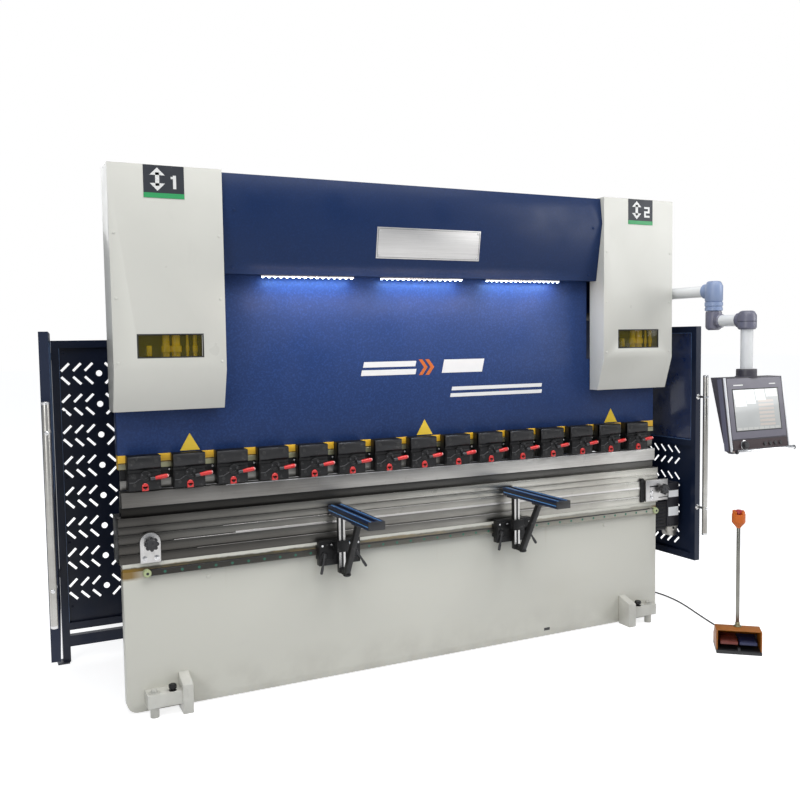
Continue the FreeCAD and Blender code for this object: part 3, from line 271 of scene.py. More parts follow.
def glow(name, colour, strength):
    f = Finish(name, colour, 0.3)
    f.set("Emission Color", (*colour, 1))
    f.set("Emission Strength", strength)
    return f.material


def clear(name, colour, rough, alpha):
    """A tinted clear sheet, a little scratched and dusty."""
    f = Finish(name, colour, rough, 0, Coat_Weight=0.15, Coat_Roughness=0.05, Specular_IOR_Level=0.3)
    dust = f.noise(8, 6, 0.7).clip(0.45, 0.75)
    f.set("Alpha", dust * 0.12 + alpha)
    f.set("Roughness", dust * 0.25 + rough)
    f.set("Base Color", f.mix(dust * 0.3, colour, tint(colour, 1.5)))
    return f.material


WHITE = (0.59, 0.585, 0.535)
BLUE = (0.018, 0.038, 0.118)
NAVY = (0.006, 0.021, 0.078)
worn_white = paint("worn_white", tint(WHITE, 0.8), 0.45, 0.3, 0.5, 0.1)
white_enamel = paint("white_enamel", WHITE, 0.34, 0.3, 0.1, 0.3)
bed_enamel = oiled_enamel("bed_enamel", (0.585, 0.578, 0.515))
ram_enamel = paint("ram_enamel", (0.012, 0.032, 0.112), 0.44, 1, 0.12, 0.03, 0, 0.22, 0.26)
hood_enamel = paint("hood_enamel", NAVY, 0.42, 0.7, 0.12, 0.06, 0, 0.2, 0.14)
guard_enamel = paint("guard_enamel", (0.007, 0.013, 0.034), 0.36, 0.5, 0.2, 0.08, -0.2, 0.28)
frame_enamel = paint("frame_enamel", tint(BLUE, 1.1), 0.42, 0.6, 0.2, 0.1, 0, 0.35, 0.15)
arm_enamel = paint("arm_enamel", (0.006, 0.015, 0.044), 0.36, 0.3, 0.1, 0.06, 0, 0.25)
drive_enamel = paint("drive_enamel", (0.013, 0.013, 0.018), 0.4, 0.4, 0.2, 0.05, 0, 0.25)
yellow_enamel = paint("yellow_enamel", (0.74, 0.43, 0.022), 0.4, 0.4, 0.32, 0.15)
grey_enamel = paint("grey_enamel", (0.16, 0.17, 0.19), 0.4, 0.4, 0.2, 0.2)
pale_blue_enamel = paint("pale_blue_enamel", (0.235, 0.305, 0.475), 0.36, 0.3, 0.1, 0.2)
# The last number of each of these ground steels is left_shade: painted shade, darker towards the left end.
table_steel = ground_steel("table_steel", 0.63, 0.28, "x", 0.45, 0.07, 1.12)
die_steel = ground_steel("die_steel", 0.84, 0.38, "x", 0.4, 0.02, 0.62)
# Painted shade: the die seat's steel is kept dark as the shadow under the die, with painted shade towards the
# left as well.
shaded_seat_steel = ground_steel("shaded_seat_steel", 0.2, 0.34, "x", 0.4, 0.03, 0.9)
# Painted highlight: the steel of the thin bright strips along the table's edges, with painted shade towards
# the left.
highlight_steel = ground_steel("highlight_steel", 0.84, 0.22, "x", 0.3, 0, 0.58)
tool_steel = ground_steel("tool_steel", 0.24, 0.38, "x", 0.35, 0.04)
part_steel = ground_steel("part_steel", 0.55, 0.3, "z", 0.25)
dark_steel = black_oxide("dark_steel", 0.032)
clamp_black = black_oxide("clamp_black", 0.014)
chrome = polished("chrome", 0.8, 0.08)
stainless = polished("stainless", 0.6, 0.2)
black_plastic = plastic("black_plastic", (0.018, 0.018, 0.02), 0.42)
red_plastic = plastic("red_plastic", (0.62, 0.022, 0.02), 0.3, 0.15, 0.2)
deep_red_plastic = plastic("deep_red_plastic", (0.16, 0.028, 0.018), 0.4)
blue_plastic = plastic("blue_plastic", (0.012, 0.018, 0.07), 0.4)
orange_plastic = plastic("orange_plastic", (0.5, 0.115, 0.014), 0.38, 0.3, 0.2)
slate_plastic = plastic("slate_plastic", (0.055, 0.05, 0.06), 0.45, 0.3)
white_plastic = plastic("white_plastic", (0.68, 0.68, 0.67), 0.35, 0.15, 0.2, 0.08)
green_plastic = plastic("green_plastic", (0.03, 0.3, 0.1), 0.4, 0.2)
# Black rubber for seals, rims and the lead; the same black also stands as painted shade in holes, sockets,
# grooves and slots.
rubber_and_recess_shade = plastic("rubber_and_recess_shade", (0.012, 0.012, 0.012), 0.6, 0.4)
amber_pane = clear("amber_pane", (0.085, 0.07, 0.002), 0.06, 0.3)
smoked_pane = clear("smoked_pane", (0.008, 0.02, 0.074), 0.08, 0.88)
led_glow = glow("led_glow", (0.62, 0.78, 1), 14)
# Painted highlight: the white of the strip on the die's crest.
crest_highlight_white = plastic("crest_highlight_white", (0.8, 0.8, 0.8), 0.2, 0, 0.2, 0.5)
gold_pipe = plastic("gold_pipe", (0.95, 0.62, 0.01), 0.25, 0.1, 0.3, 0.3)
# Painted shade: the dark sheet behind the cover windows.
painted_shade_dark = plastic("painted_shade_dark", (0.075, 0.072, 0.006), 0.5, 0.1, 0, 0.6)
arm_azure = plastic("arm_azure", (0.1, 0.31, 0.66), 0.3, 0.1, 0.2, 0.1)
clamp_grey = black_oxide("clamp_grey", 0.06, 0.38)
clamp_lip_grey = black_oxide("clamp_lip_grey", 0.026, 0.45)
bar_steel = ground_steel("bar_steel", 0.62, 0.24, "z", 0.2)
column_steel = ground_steel("column_steel", 0.26, 0.22, "z", 0.3, 0.09)
tube_white = paint("tube_white", (0.82, 0.83, 0.83), 0.34, 0.2, 0.05, 0.2)
handle_steel = ground_steel("handle_steel", 0.46, 0.26, "z", 0.45, 0.04)
stop_orange = plastic("stop_orange", (0.64, 0.13, 0.006), 0.52, 0.3, 0)
stop_red = plastic("stop_red", (0.42, 0.04, 0.045), 0.35, 0.1, 0.1)
station_ochre = plastic("station_ochre", (0.33, 0.103, 0.005), 0.5, 0.3, 0, 0.45)
board_blue = plastic("board_blue", (0.016, 0.019, 0.027), 0.5, 0.1, 0, 0.1)
plate_silver = ground_steel("plate_silver", 0.62, 0.34, "x", 0.08)
yellow_plastic = plastic("yellow_plastic", (0.72, 0.5, 0.03), 0.35, 0.1, 0.2, 0.1)
pale_red_plastic = plastic("pale_red_plastic", (0.62, 0.32, 0.3), 0.35, 0.1, 0.2, 0.1)
brass_bar = ground_steel("brass_bar", 0.34, 0.36, "x", 0.4, 0.35)
# Painted highlight: the light blue of the strips along the guards' edges.
edge_highlight_blue = paint("edge_highlight_blue", (0.1, 0.17, 0.32), 0.35, 0.2, 0.1, 0.2)
joint_grey = paint("joint_grey", (0.055, 0.057, 0.085), 0.4, 0.3, 0.1, 0.2)
elbow_grey = paint("elbow_grey", (0.135, 0.135, 0.185), 0.38, 0.3, 0.1, 0.2)
bezel_slate = plastic("bezel_slate", (0.125, 0.118, 0.15), 0.36, 0.2, 0.1, 0.1)
tray_maroon = plastic("tray_maroon", (0.022, 0.006, 0.009), 0.45, 0.1, 0, 0.1)
collar_dark = plastic("collar_dark", (0.045, 0.042, 0.055), 0.4, 0.2)
screen_grey = plastic("screen_grey", (0.47, 0.48, 0.47), 0.12, 0, 0.4, 0.04)
screen_beige = plastic("screen_beige", (0.6, 0.54, 0.49), 0.12, 0, 0.4, 0.04)
screen_pale = plastic("screen_pale", (0.58, 0.58, 0.55), 0.12, 0, 0.4, 0.04)
screen_white = plastic("screen_white", (0.86, 0.87, 0.88), 0.12, 0, 0.4, 0.02)
rail_green = plastic("rail_green", (0.012, 0.115, 0.072), 0.4, 0.1)
stop_green = plastic("stop_green", (0.4, 0.46, 0.24), 0.35, 0.1, 0.2, 0.1)
# Painted shade: the rail's steel darkens towards the left end through its left_shade.
rail_steel = ground_steel("rail_steel", 0.4, 0.34, "x", 0.4, 0.12, 0.98)


# Ways to shape a piece
QUARTER = math.pi / 2
TURN = {"z": (0, 0, 0), "-z": (math.pi, 0, 0), "y": (-QUARTER, 0, 0), "-y": (QUARTER, 0, 0),
        "x": (0, QUARTER, 0), "-x": (0, -QUARTER, 0)}
SMOOTH = math.radians(32)


def metres(place):
    """Lengths in millimetres, in the frame's metres."""
    return [value / 1000 for value in place]


def lay_down():
    """Back to object mode, with nothing selected."""
    if bpy.context.object and bpy.context.object.mode != "OBJECT":
        bpy.ops.object.mode_set(mode="OBJECT")
    bpy.ops.object.select_all(action="DESELECT")


def pick(*pieces):
    lay_down()
    for piece in pieces:
        piece.select_set(True)
    bpy.context.view_layer.objects.active = pieces[0]


def settle(piece):
    """Puts the piece's place and turn into its mesh."""
    pick(piece)
    bpy.ops.object.transform_apply(location=True, rotation=True, scale=True)
    return piece


def shape(piece):
    """Edit mode, with the whole mesh selected."""
    pick(piece)
    bpy.ops.object.mode_set(mode="EDIT")
    bpy.ops.mesh.select_all(action="SELECT")


def bevel(piece, width, steps, angle=30):
    pick(piece)
    rule = piece.modifiers.new("edges", "BEVEL")
    rule.width = width / 1000
    rule.segments = steps
    rule.limit_method = "ANGLE"
    rule.angle_limit = math.radians(angle)
    bpy.ops.object.modifier_apply(modifier=rule.name)
    bpy.ops.object.shade_smooth_by_angle(angle=SMOOTH)
    return piece


def block(low, high, edge, steps=2):
    """A rounded block between two corners."""
    lay_down()
    bpy.ops.mesh.primitive_cube_add(size=1, location=metres([(a + b) / 2 for a, b in zip(low, high)]))
    piece = bpy.context.object
    piece.scale = metres([b - a for a, b in zip(low, high)])
    settle(piece)
    return bevel(piece, edge, steps) if edge else piece


def turned(base, axis, profile, sides, hollow=False):
    """A lathe-turned piece: pairs of radius and height, from the base along the axis.

    The profile of a hollow ring comes back to its start.
    """
    lay_down()
    profile = [metres(pair) for pair in profile]
    bpy.ops.mesh.primitive_circle_add(vertices=sides, radius=profile[0][0],
                                      fill_type="NOTHING" if hollow else "NGON")
    piece = bpy.context.object
    bpy.ops.object.mode_set(mode="EDIT")
    bpy.ops.mesh.select_all(action="SELECT")
    bpy.ops.transform.translate(value=(0, 0, profile[0][1]))
    for (r0, h0), (r1, h1) in zip(profile, profile[1:]):
        bpy.ops.mesh.extrude_region_move(TRANSFORM_OT_translate={"value": (0, 0, h1 - h0)})
        bpy.ops.transform.resize(value=(r1 / r0, r1 / r0, 1), center_override=(0, 0, h1))
    bpy.ops.mesh.select_all(action="SELECT")
    if hollow:
        bpy.ops.mesh.remove_doubles(threshold=0.00001)
    bpy.ops.mesh.normals_make_consistent(inside=False)
    lay_down()
    piece.rotation_euler = TURN[axis]
    piece.location = metres(base)
    settle(piece)
    bpy.ops.object.shade_smooth_by_angle(angle=SMOOTH)
    return piece


def tilt(piece, pivot, degrees, axis="X"):
    """Turns the mesh about a line through the pivot."""
    pivot = Vector(metres(pivot))
    turn = Matrix.Rotation(math.radians(degrees), 4, axis)
    piece.matrix_world = Matrix.Translation(pivot) @ turn @ Matrix.Translation(-pivot)
    return settle(piece)


def carve(piece, *planes):
    """Cuts away what lies beyond each plane, and closes the cuts."""
    for point, normal in planes:
        shape(piece)
        bpy.ops.mesh.bisect(plane_co=metres(point), plane_no=normal, use_fill=True, clear_outer=True)
        lay_down()
    return piece


def joined(*pieces):
    pick(*pieces)
    if len(pieces) > 1:
        bpy.ops.object.join()
    return pieces[0]


def row(piece, spots):
    """The piece repeated at each spot, as one mesh."""
    copies = []
    for spot in spots:
        copy = piece.copy()
        copy.data = piece.data.copy()
        bpy.context.scene.collection.objects.link(copy)
        copy.location = metres(spot)
        copies.append(settle(copy))
    bpy.data.objects.remove(piece)
    return joined(*copies)


def finish(name, material, *pieces, body="machine_frame", by=None, spots=(), hides=()):
    """The pieces as one: repeated at its spots, brought to its place, coloured and riding its body."""
    piece = joined(*pieces)
    if spots:
        piece = row(piece, spots)
    if by:
        by(piece)
    piece.name = name
    piece.data.materials.clear()
    piece.data.materials.append(material)
    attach(piece, body)
    if hides:
        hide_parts(*hides)


def dress(node, material, edge):
    """The node's own shape with rounded edges and its finish."""
    source = frame["nodes"][node]
    skin = source.copy()
    skin.data = source.data.copy()
    bpy.context.scene.collection.objects.link(skin)
    skin.parent = None
    shape(skin)
    bpy.ops.mesh.remove_doubles(threshold=0.00002)
    bpy.ops.mesh.dissolve_limited(angle_limit=math.radians(1))
    lay_down()
    bevel(skin, edge, 2, 35)
    finish(node + "_skin", material, skin, body=CARRIERS[node], hides=(node,))


def coat(node, material):
    """The node as it is, with its finish."""
    shell = frame["nodes"][node]
    if not shell.material_slots:
        shell.data.materials.append(material)
    for slot in shell.material_slots:
        slot.material = material


def slanted(low, high, lean):
    """A flat bar whose ends slope, seen from the front."""
    spare = abs(lean * (high[2] - low[2])) + 2
    piece = block((low[0] - spare, low[1], low[2]), (high[0] + spare, high[1], high[2]), 0)
    return carve(piece, ((low[0], 0, low[2]), (-1, 0, lean)), ((high[0], 0, high[2]), (1, 0, -lean)))


def frame_of(low, high, rim, edge):
    """A rectangular rim, its opening along Y."""
    x0, y0, z0 = low
    x1, y1, z1 = high
    return joined(block((x0, y0, z0), (x1, y1, z0 + rim), edge),
                  block((x0, y0, z1 - rim), (x1, y1, z1), edge),
                  block((x0, y0, z0 + rim), (x0 + rim, y1, z1 - rim), edge),
                  block((x1 - rim, y0, z0 + rim), (x1, y1, z1 - rim), edge))


def cap_screw(base, axis, radius, high, sides):
    """A cylinder-head screw with a hexagon socket."""
    head = turned(base, axis, [(radius, 0), (radius, high * 0.86), (radius * 0.9, high)], sides)
    socket = turned(base, axis, [(radius * 0.5, high * 1.02), (radius * 0.5, high * 0.45)], 6)
    return head, socket


def bolt(base, axis, across, high, washer=0):
    """A hexagon head, chamfered, on its washer."""
    head = turned(base, axis, [(across * 0.55, washer), (across * 0.577, washer + 1),
                               (across * 0.577, washer + high * 0.8), (across * 0.48, washer + high)], 6)
    if not washer:
        return head
    return joined(head, turned(base, axis, [(across, 0), (across, washer * 0.8), (across * 0.94, washer)], 24))


# Nodes shown in their own shape: finish, and the width of the rounded edges
DRESS = {
    "bed_apron": (bed_enamel, 3), "bed_table": (table_steel, 1), "die_seat": (shaded_seat_steel, 1),
    "lower_die": (die_steel, 1.5), "ram": (ram_enamel, 2), "punch_strip": (yellow_enamel, 1),
    "punch": (tool_steel, 0.6), "side_frame_left": (frame_enamel, 2), "side_frame_right": (frame_enamel, 2),
    "front_gussets": (white_enamel, 3), "anchor_lugs": (white_enamel, 3), "cylinders": (dark_steel, 2),
    "piston_rods": (chrome, 1), "ram_guides": (part_steel, 1), "cover_left": (white_enamel, 1.8),
    "cover_right": (white_enamel, 1.8), "cover_windows": (amber_pane, 0.5), "hood": (hood_enamel, 1.8),
    "led_strips": (stainless, 0.8), "upper_tie_beam": (frame_enamel, 2), "rear_tie_beam": (frame_enamel, 2),
    "oil_tank": (frame_enamel, 3), "pump_motor": (grey_enamel, 3), "back_gauge": (grey_enamel, 2),
    "electric_cabinet": (white_enamel, 4), "linear_rail": (rail_steel, 0.8),
    "level_brackets": (part_steel, 2), "crowning_drive": (drive_enamel, 4),
    "support_carriage_left": (clamp_black, 1.5), "support_carriage_right": (clamp_black, 1.5),
    "support_post_left": (clamp_black, 1), "support_post_right": (clamp_black, 1),
    "support_arm_left": (arm_enamel, 2), "support_arm_right": (arm_enamel, 2),
    "guard_pane_left": (smoked_pane, 1), "guard_pane_right": (smoked_pane, 1),
    "guard_handle_left": (handle_steel, 1), "guard_handle_right": (handle_steel, 1),
    "pendant_housing": (slate_plastic, 6), "pendant_screen": (black_plastic, 1),
    "pendant_handle": (chrome, 1), "pedal_hood": (station_ochre, 2), "pedal_column": (column_steel, 1),
    "pedal_left": (deep_red_plastic, 2), "pedal_right": (blue_plastic, 2), "pedal_base": (black_plastic, 2),
}


# Covers: number boards, window rims, screws, and what shows through the windows: oil pipes before a dark sheet
# of painted shade
def cover_details():
    front = FACE - 105
    dark, green, white = [], [], []
    for sign, number in ((-1, 1), (1, 2)):
        x0 = -1467 if sign < 0 else 1285
        y = front - 1.5
        dark.append(block((x0, y, 2402), (x0 + 182, front + 1, 2547.5), 0.6, 1))
        green.append(block((x0, y - 0.6, 2402), (x0 + 182, front, 2424), 0))
        y -= 0.8
        stem = x0 + 62
        white.append(block((stem - 9, y, 2455), (stem + 9, front, 2515), 0))
        for up in (1, -1):
            tip = 2485 + 52 * up
            low, high = sorted((tip, tip - 34 * up))
            head = block((stem - 34, y, low), (stem + 34, front, high), 0)
            white.append(carve(head, ((stem, 0, tip), (1, 0, up)), ((stem, 0, tip), (-1, 0, up))))
        left = x0 + 118
        if number == 1:
            white.append(block((left + 14, y, 2445), (left + 28, front, 2505), 0))
            white.append(block((left + 4, y, 2489), (left + 14, front, 2499), 0))
        else:
            for z in (2445, 2470, 2495):
                white.append(block((left, y, z), (left + 40, front, z + 11), 0))
            white.append(block((left + 28, y, 2481), (left + 40, front, 2495), 0))
            white.append(block((left, y, 2456), (left + 12, front, 2470), 0))
    finish("number_boards", board_blue, *dark)
    finish("number_bars", green_plastic, *green)
    finish("numbers", white_plastic, *white)
    rims, screws = [], []
    for sign in (-1, 1):
        middle = sign * (1622 + 1110) / 2
        rims.append(frame_of((middle - 151.5, front - 1, 1681), (middle + 151.5, front + 4, 1791), 6, 0.8))
        for x in (-236, 236):
            for z in (1660, 1950, 2240):
                screws.append(turned((middle + x, front + 0.5, z), "-y", [(7.5, 0), (7, 1.8), (4.2, 2.8)],
                                     12))
    finish("window_rims", rubber_and_recess_shade, *rims)
    finish("cover_screws", white_enamel, *screws)
    pipes, painted_shade_sheets = [], []
    for sign in (-1, 1):
        middle = sign * (1622 + 1110) / 2
        # Painted shade: a dark sheet behind each window stands for the shade inside the cover; the pipes stand
        # before it.
        painted_shade_sheets.append(block((middle - 165, -742.5, 1655), (middle + 165, -740.5, 1815), 0.6, 1))
        for shift, radius in ((-16, 16), (30, 19), (82, 6), (118, 9)):
            pipes.append(turned((middle + shift, -800, 1660), "z",
                                [(radius, 0), (radius, 45), (radius * 1.35, 48), (radius * 1.35, 75),
                                 (radius, 78), (radius, 780)], 16))
        pipes.append(block((middle - 104, -810, 1690), (middle - 82, -788, 1738), 2))
    finish("oil_pipes", gold_pipe, *pipes)
    finish("painted_window_shades", painted_shade_dark, *painted_shade_sheets)


# Hood: name plate, screws and the beads of the light strips
def hood_details():
    low_y, low_z, lean = FACE - 35, 2074, math.degrees(math.atan2(55, 326))
    pivot = (0, low_y, low_z)

    def on_slope(piece):
        return tilt(piece, pivot, lean)

    plate = block((-307, low_y - 2.8, 2168), (304, low_y + 1, 2327), 1)
    finish("name_plate", plate_silver, plate, by=on_slope)
    rim = frame_of((-301, low_y - 3.4, 2174), (298, low_y - 1, 2321), 1.6, 0)
    finish("name_plate_rim", dark_steel, rim, by=on_slope)
    rivets = [turned((x, low_y - 2.6, z), "-y", [(5.5, 0), (4.5, 1.8), (2, 2.6)], 14) for x in (-291, 288)
              for z in (2184, 2311)]
    finish("name_plate_rivets", stainless, *rivets, by=on_slope)
    screws = [turned((x, low_y - 0.2, z), "-y", [(8, 0), (7.5, 2), (4.5, 3)], 12) for x in (-1050, 1050)
              for z in (2105, 2375)]
    finish("hood_screws", hood_enamel, *screws, by=on_slope)
    y, z = FACE - 35 + 24, 2064
    bead = turned((0, y, z + 0.8), "-z", [(6.2, 0), (5.5, 3), (3, 4.5)], 12)
    spots = []
    for middle in LIGHT_STRIPS:
        spots += [(middle - 235 + 31.3 * step, 0, 0) for step in range(16)]
    finish("led_beads", led_glow, bead, spots=spots)


# Ram: plain decals, and the foot of the punch strip
def ram_details():
    y = RAM_FACE
    front, back = y - 1, y + 1
    white = [slanted((-365, front, 1563), (-40, back, 1592), 0.22),
             slanted((-352, front, 1606), (-40, back, 1635), 0.22),
             slanted((115, front, 1566), (385, back, 1638), 0.22),
             slanted((165, front, 1432), (772, back, 1452), 0.22),
             slanted((175, front, 1468), (772, back, 1488), 0.22)]
    finish("ram_decals", white_plastic, *white, body="ram_body")
    orange = []
    for x in (6, 46):
        orange.append(slanted((x, front, 1600), (x - 9.5, back, 1642), -0.75))
        orange.append(slanted((x - 31.5, front, 1558), (x + 22, back, 1600), 0.75))
    finish("ram_decal_arrows", orange_plastic, *orange, body="ram_body")
    yellow = []
    for x in (-1264, 5, 1270):
        sheet = block((x - 48, front, 1235), (x + 48, back, 1318), 0)
        yellow.append(carve(sheet, ((x, 0, 1318), (0.866, 0, 0.5)), ((x, 0, 1318), (-0.866, 0, 0.5))))
    finish("plain_triangles", yellow_plastic, *yellow, body="ram_body")
    # Painted shade: a black strip in the groove between the punch strip and its foot.
    groove = block((-1599, y - 0.8, 1189), (1599, y + 4, 1193.5), 0)
    finish("strip_groove", rubber_and_recess_shade, groove, body="ram_body")
    brass = block((-1599, y - 3, 1163.5), (1599, y + 6, 1188), 1, 1)
    finish("strip_foot", brass_bar, brass, body="ram_body")


# Quick clamps on the ram: one is shaped, then repeated along the strip
def clamps():
    bed, first, last, count = 3200, 109, 176, 15  # the end clamps stand in from the bed's ends
    pitch = (bed - first - last) / (count - 1)
    shifts = [(first - bed / 2 + pitch * index, 0, 0) for index in range(count)]
    front = RAM_FACE - 71

    def repeat(name, material, *pieces, spots=shifts, hides=()):
        finish(name, material, *pieces, body="ram_body", spots=spots, hides=hides)

    low = 1068  # the blocks' underside
    body = block((-75, front + 12, low), (75, front + 71, 1229.5), 2)
    lip = block((-75, front, 1160), (75, front + 30, 1229.5), 1.5)
    carve(lip, ((0, front, 1176), (0, -1, -1.2)), ((0, front, 1222), (0, -1, 0.8)))
    face = block((-73, front + 2, low + 4), (73, front + 30, 1150), 3)
    seat = block((-74, front + 70, 1111), (74, front + 101, 1162.5), 1, 1)
    boss = turned((4, front + 3, 1136), "-y", [(24, 0), (24, 4), (21, 6), (10.5, 6.5), (10, 2)], 24)
    # Painted shade: the face groove and the holes and sockets below are black pieces standing for the shade
    # inside them.
    groove = block((-18, front + 3.5, low + 6), (18, front + 6, low + 34), 0)
    repeat("clamp_lips", clamp_lip_grey, lip)
    repeat("clamp_blocks", clamp_black, body, face, seat, boss, hides=("punch_clamps",))
    holes, bright = [groove], []
    for x, z, radius in ((-52, 1203.5, 9.5), (52, 1203.5, 9.5)):
        head, socket = cap_screw((x, front + 3, z), "-y", radius, 4.5, 14)
        bright.append(head)
        holes.append(socket)
    for x, z, radius in ((-48, 1096, 8), (47, 1118, 5), (12, 1104, 5), (-60, 1136, 4)):
        holes.append(turned((x, front + 1.5, z), "-y", [(radius, 0), (radius * 0.9, 0.7)], 10))
    repeat("clamp_screws", rubber_and_recess_shade, *bright)
    repeat("clamp_holes", rubber_and_recess_shade, *holes)
    shiny = [turned((x, front - 1, 1142), "-y", [(4.8, 0), (4, 2), (2, 3)], 10) for x in (-12, 18)]
    wedge = []
    for x0, z0, x1, z1 in ((-70, 1108, -48, 1108), (-48, 1108, -22, 1124), (-22, 1124, 12, 1127),
                           (12, 1127, 30, 1119)):
        length = math.hypot(x1 - x0, z1 - z0)
        bar = block((x0 - 1, front - 0.5, z0 - 2.2), (x0 + length + 1, front + 4, z0 + 2.2), 0.6, 1)
        wedge.append(tilt(bar, (x0, 0, z0), -math.degrees(math.atan2(z1 - z0, x1 - x0)), "Y"))
    root = turned((20, front - 6, 1122), "x", [(4, 0), (9, 3), (8.5, 18), (6.5, 30)], 14)
    tilt(root, (20, front, 1122), -7, "Y")
    wedge.append(root)
    repeat("clamp_glints", clamp_grey, *shiny)
    repeat("clamp_wedges", clamp_grey, *wedge)
    backing = block((-1590, FACE + 40, 1111), (1590, FACE + 64, 1163), 1, 1)
    finish("clamp_backing", clamp_black, backing, body="ram_body")
    grip = turned((44, front - 6, 1125), "x", [(6.5, 0), (8.5, 4), (10.5, 30), (10.5, 52), (8.5, 58)], 14)
    tilt(grip, (44, front, 1125), -7, "Y")
    repeat("lever_grips", red_plastic, grip, hides=("clamp_levers",))
    end = turned((101.3, front - 6, 1132.2), "x", [(8.5, 0), (8, 3.5), (5, 6)], 14)
    repeat("lever_ends", pale_red_plastic, tilt(end, (101.3, front, 1132.2), -7, "Y"))
    tab = block((-15, front - 4, low - 1), (15, front + 6, low + 22), 2, 2)
    nose = turned((0, front - 4, low + 21), "y", [(12, 0), (14, 1.5), (14, 9)], 20)
    repeat("clamp_tabs_shaped", red_plastic, tab, nose, hides=("clamp_tabs",))
    # Painted shade: a black disc for the hole in each tab.
    eye = turned((0, front - 3.7, low + 10), "-y", [(5, 0), (4.4, 0.8)], 12)
    repeat("tab_eyes", rubber_and_recess_shade, eye)
    between = [(x + pitch / 2, 0, 0) for x, y, z in shifts[:-1]]
    shoe = block((-20, FACE + 31, 1146), (18, FACE + 60, 1163.5), 1, 1)
    repeat("strip_shoes", clamp_black, shoe, spots=between)
    pin = turned((23, FACE + 40, 1150), "-y", [(5, 0), (5, 6), (3, 8)], 10)
    repeat("strip_pins", white_plastic, pin, spots=between)


# Rail and table: drilled row, stops, screws, painted highlights on the table's edges and the die's crest, and
# star knobs
def rail_details():
    y = RAIL_FACE
    bead = turned((0, y + 0.2, 675), "-y", [(7.2, 0), (6, 0.8)], 12)
    spots = [(-1410 + 81 * step, 0, 0) for step in range(37)]
    finish("rail_holes", rail_green, bead, spots=spots)
    ledge = block((-1475, FACE - 23.5, 686.8), (1560, FACE - 12, 690.5), 0.8, 1)
    finish("rail_ledge", dark_steel, ledge)
    stops = []
    for x in (-1492, 1577):
        stops.append(turned((x, y - 2, 675), "-y", [(19, -20), (19.5, 0), (17.5, 6), (8, 8)], 28))
    finish("rail_stop_caps", stop_green, *stops)
    # Painted shade: black discs for the holes in the stop caps.
    eyes = [turned((x, y - 9.8, 675), "-y", [(7, 0), (6, 1)], 14) for x in (-1492, 1577)]
    finish("rail_stop_eyes", rubber_and_recess_shade, *eyes)
    # Painted shade: the screws' sockets are black pieces standing for the shade inside them.
    heads, sockets = [], []
    for step in range(16):
        head, socket = cap_screw((-1500 + 200 * step, FACE + 10.5, 791.5), "-y", 10, 8, 16)
        heads.append(head)
        sockets.append(socket)
    finish("table_screws", dark_steel, *heads)
    finish("table_screw_sockets", rubber_and_recess_shade, *sockets)
    # Painted highlight: thin bright steel strips along the table's step edges.
    highlight_strips = [block((x0, FACE - 0.6, z), (x1, FACE + 4, z + high), 0.4, 1)
              for x0, x1, z, high in ((-1120, 1600, 858.2, 1.8), (-1060, 1600, 814.5, 11),
                                      (-1360, -1060, 814.5, 3), (-1250, 1600, 764, 3.2),
                                      (-300, 1600, 904, 1.6))]
    finish("table_edge_highlights", highlight_steel, *highlight_strips)
    # Painted highlight: a white strip along the die's crest.
    crest = block((-1100, FACE + 5.2, 1054.5), (1592, FACE + 12, 1057.2), 0.5, 1)
    finish("die_crest_highlight", crest_highlight_white, crest)
    shim = block((-1593, FACE + 8, 983.5), (1593, FACE + 30, 987.5), 0.6, 1)
    finish("die_shim", dark_steel, shim)
    lobes, hubs, bolts = [], [], []
    for sign, x, z in ((-1, -1473.5, 817.5), (1, 1620, 809)):
        base = FACE - 40
        knob = [turned((x, base, z), "-y", [(16, -18), (18, 0), (27, 4), (27, 22), (21, 28)], 32)]
        for step in range(8):
            angle = math.pi * step / 4
            place = (x + 25.5 * math.cos(angle), base - 3, z + 25.5 * math.sin(angle))
            knob.append(turned(place, "-y", [(7.5, 0), (8.5, 2), (8.5, 19), (6, 24)], 14))
        lobes.append(joined(*knob))
        hubs.append(turned((x, base - 27.5, z), "-y", [(10, 0), (10, 2), (6, 4)], 20))
        for shift in (-28, 28) if sign < 0 else ():
            bolts.append(bolt((x + shift, RAIL_FACE, 745), "-y", 12.5, 7, 2))
    finish("star_knobs", black_plastic, *lobes, hides=("level_knobs",))
    finish("star_caps", black_plastic, *hubs)
    finish("bracket_bolts", stainless, *bolts)


# Floor lugs: anchors and levelling screws, and the apron's plugs
def feet_details():
    studs, heads = [], []
    for sx in (-1, 1):
        for y in (-790, 790):
            studs.append(bolt((sx * 1485, y, 115), "z", 28, 12, 3))
            studs.append(turned((sx * 1485, y, 113), "z", [(10.5, 0), (10.5, 18), (8.5, 20)], 20))
            x, at = sx * 1401, y - 8 if y < 0 else y + 6
            heads.append(bolt((x, at, 126.5), "z", 34, 19))
            heads.append(turned((x, at, 112), "z", [(18, 0), (18, 6), (10, 7.5), (10, 18)], 20))
    finish("anchor_nuts", worn_white, *studs)
    finish("levelling_screws", clamp_black, *heads)
    plugs = [turned((x, FACE + 0.3, z), "-y", [(11, 0), (10, 3), (6, 4)], 20)
             for x, z in ((-1200, 620), (1200, 620))]
    finish("apron_plugs", bed_enamel, *plugs)
    tag = block((760, FACE - 1, 40), (800, FACE + 1, 56), 0.4, 1)
    finish("foot_tag", black_plastic, tag)


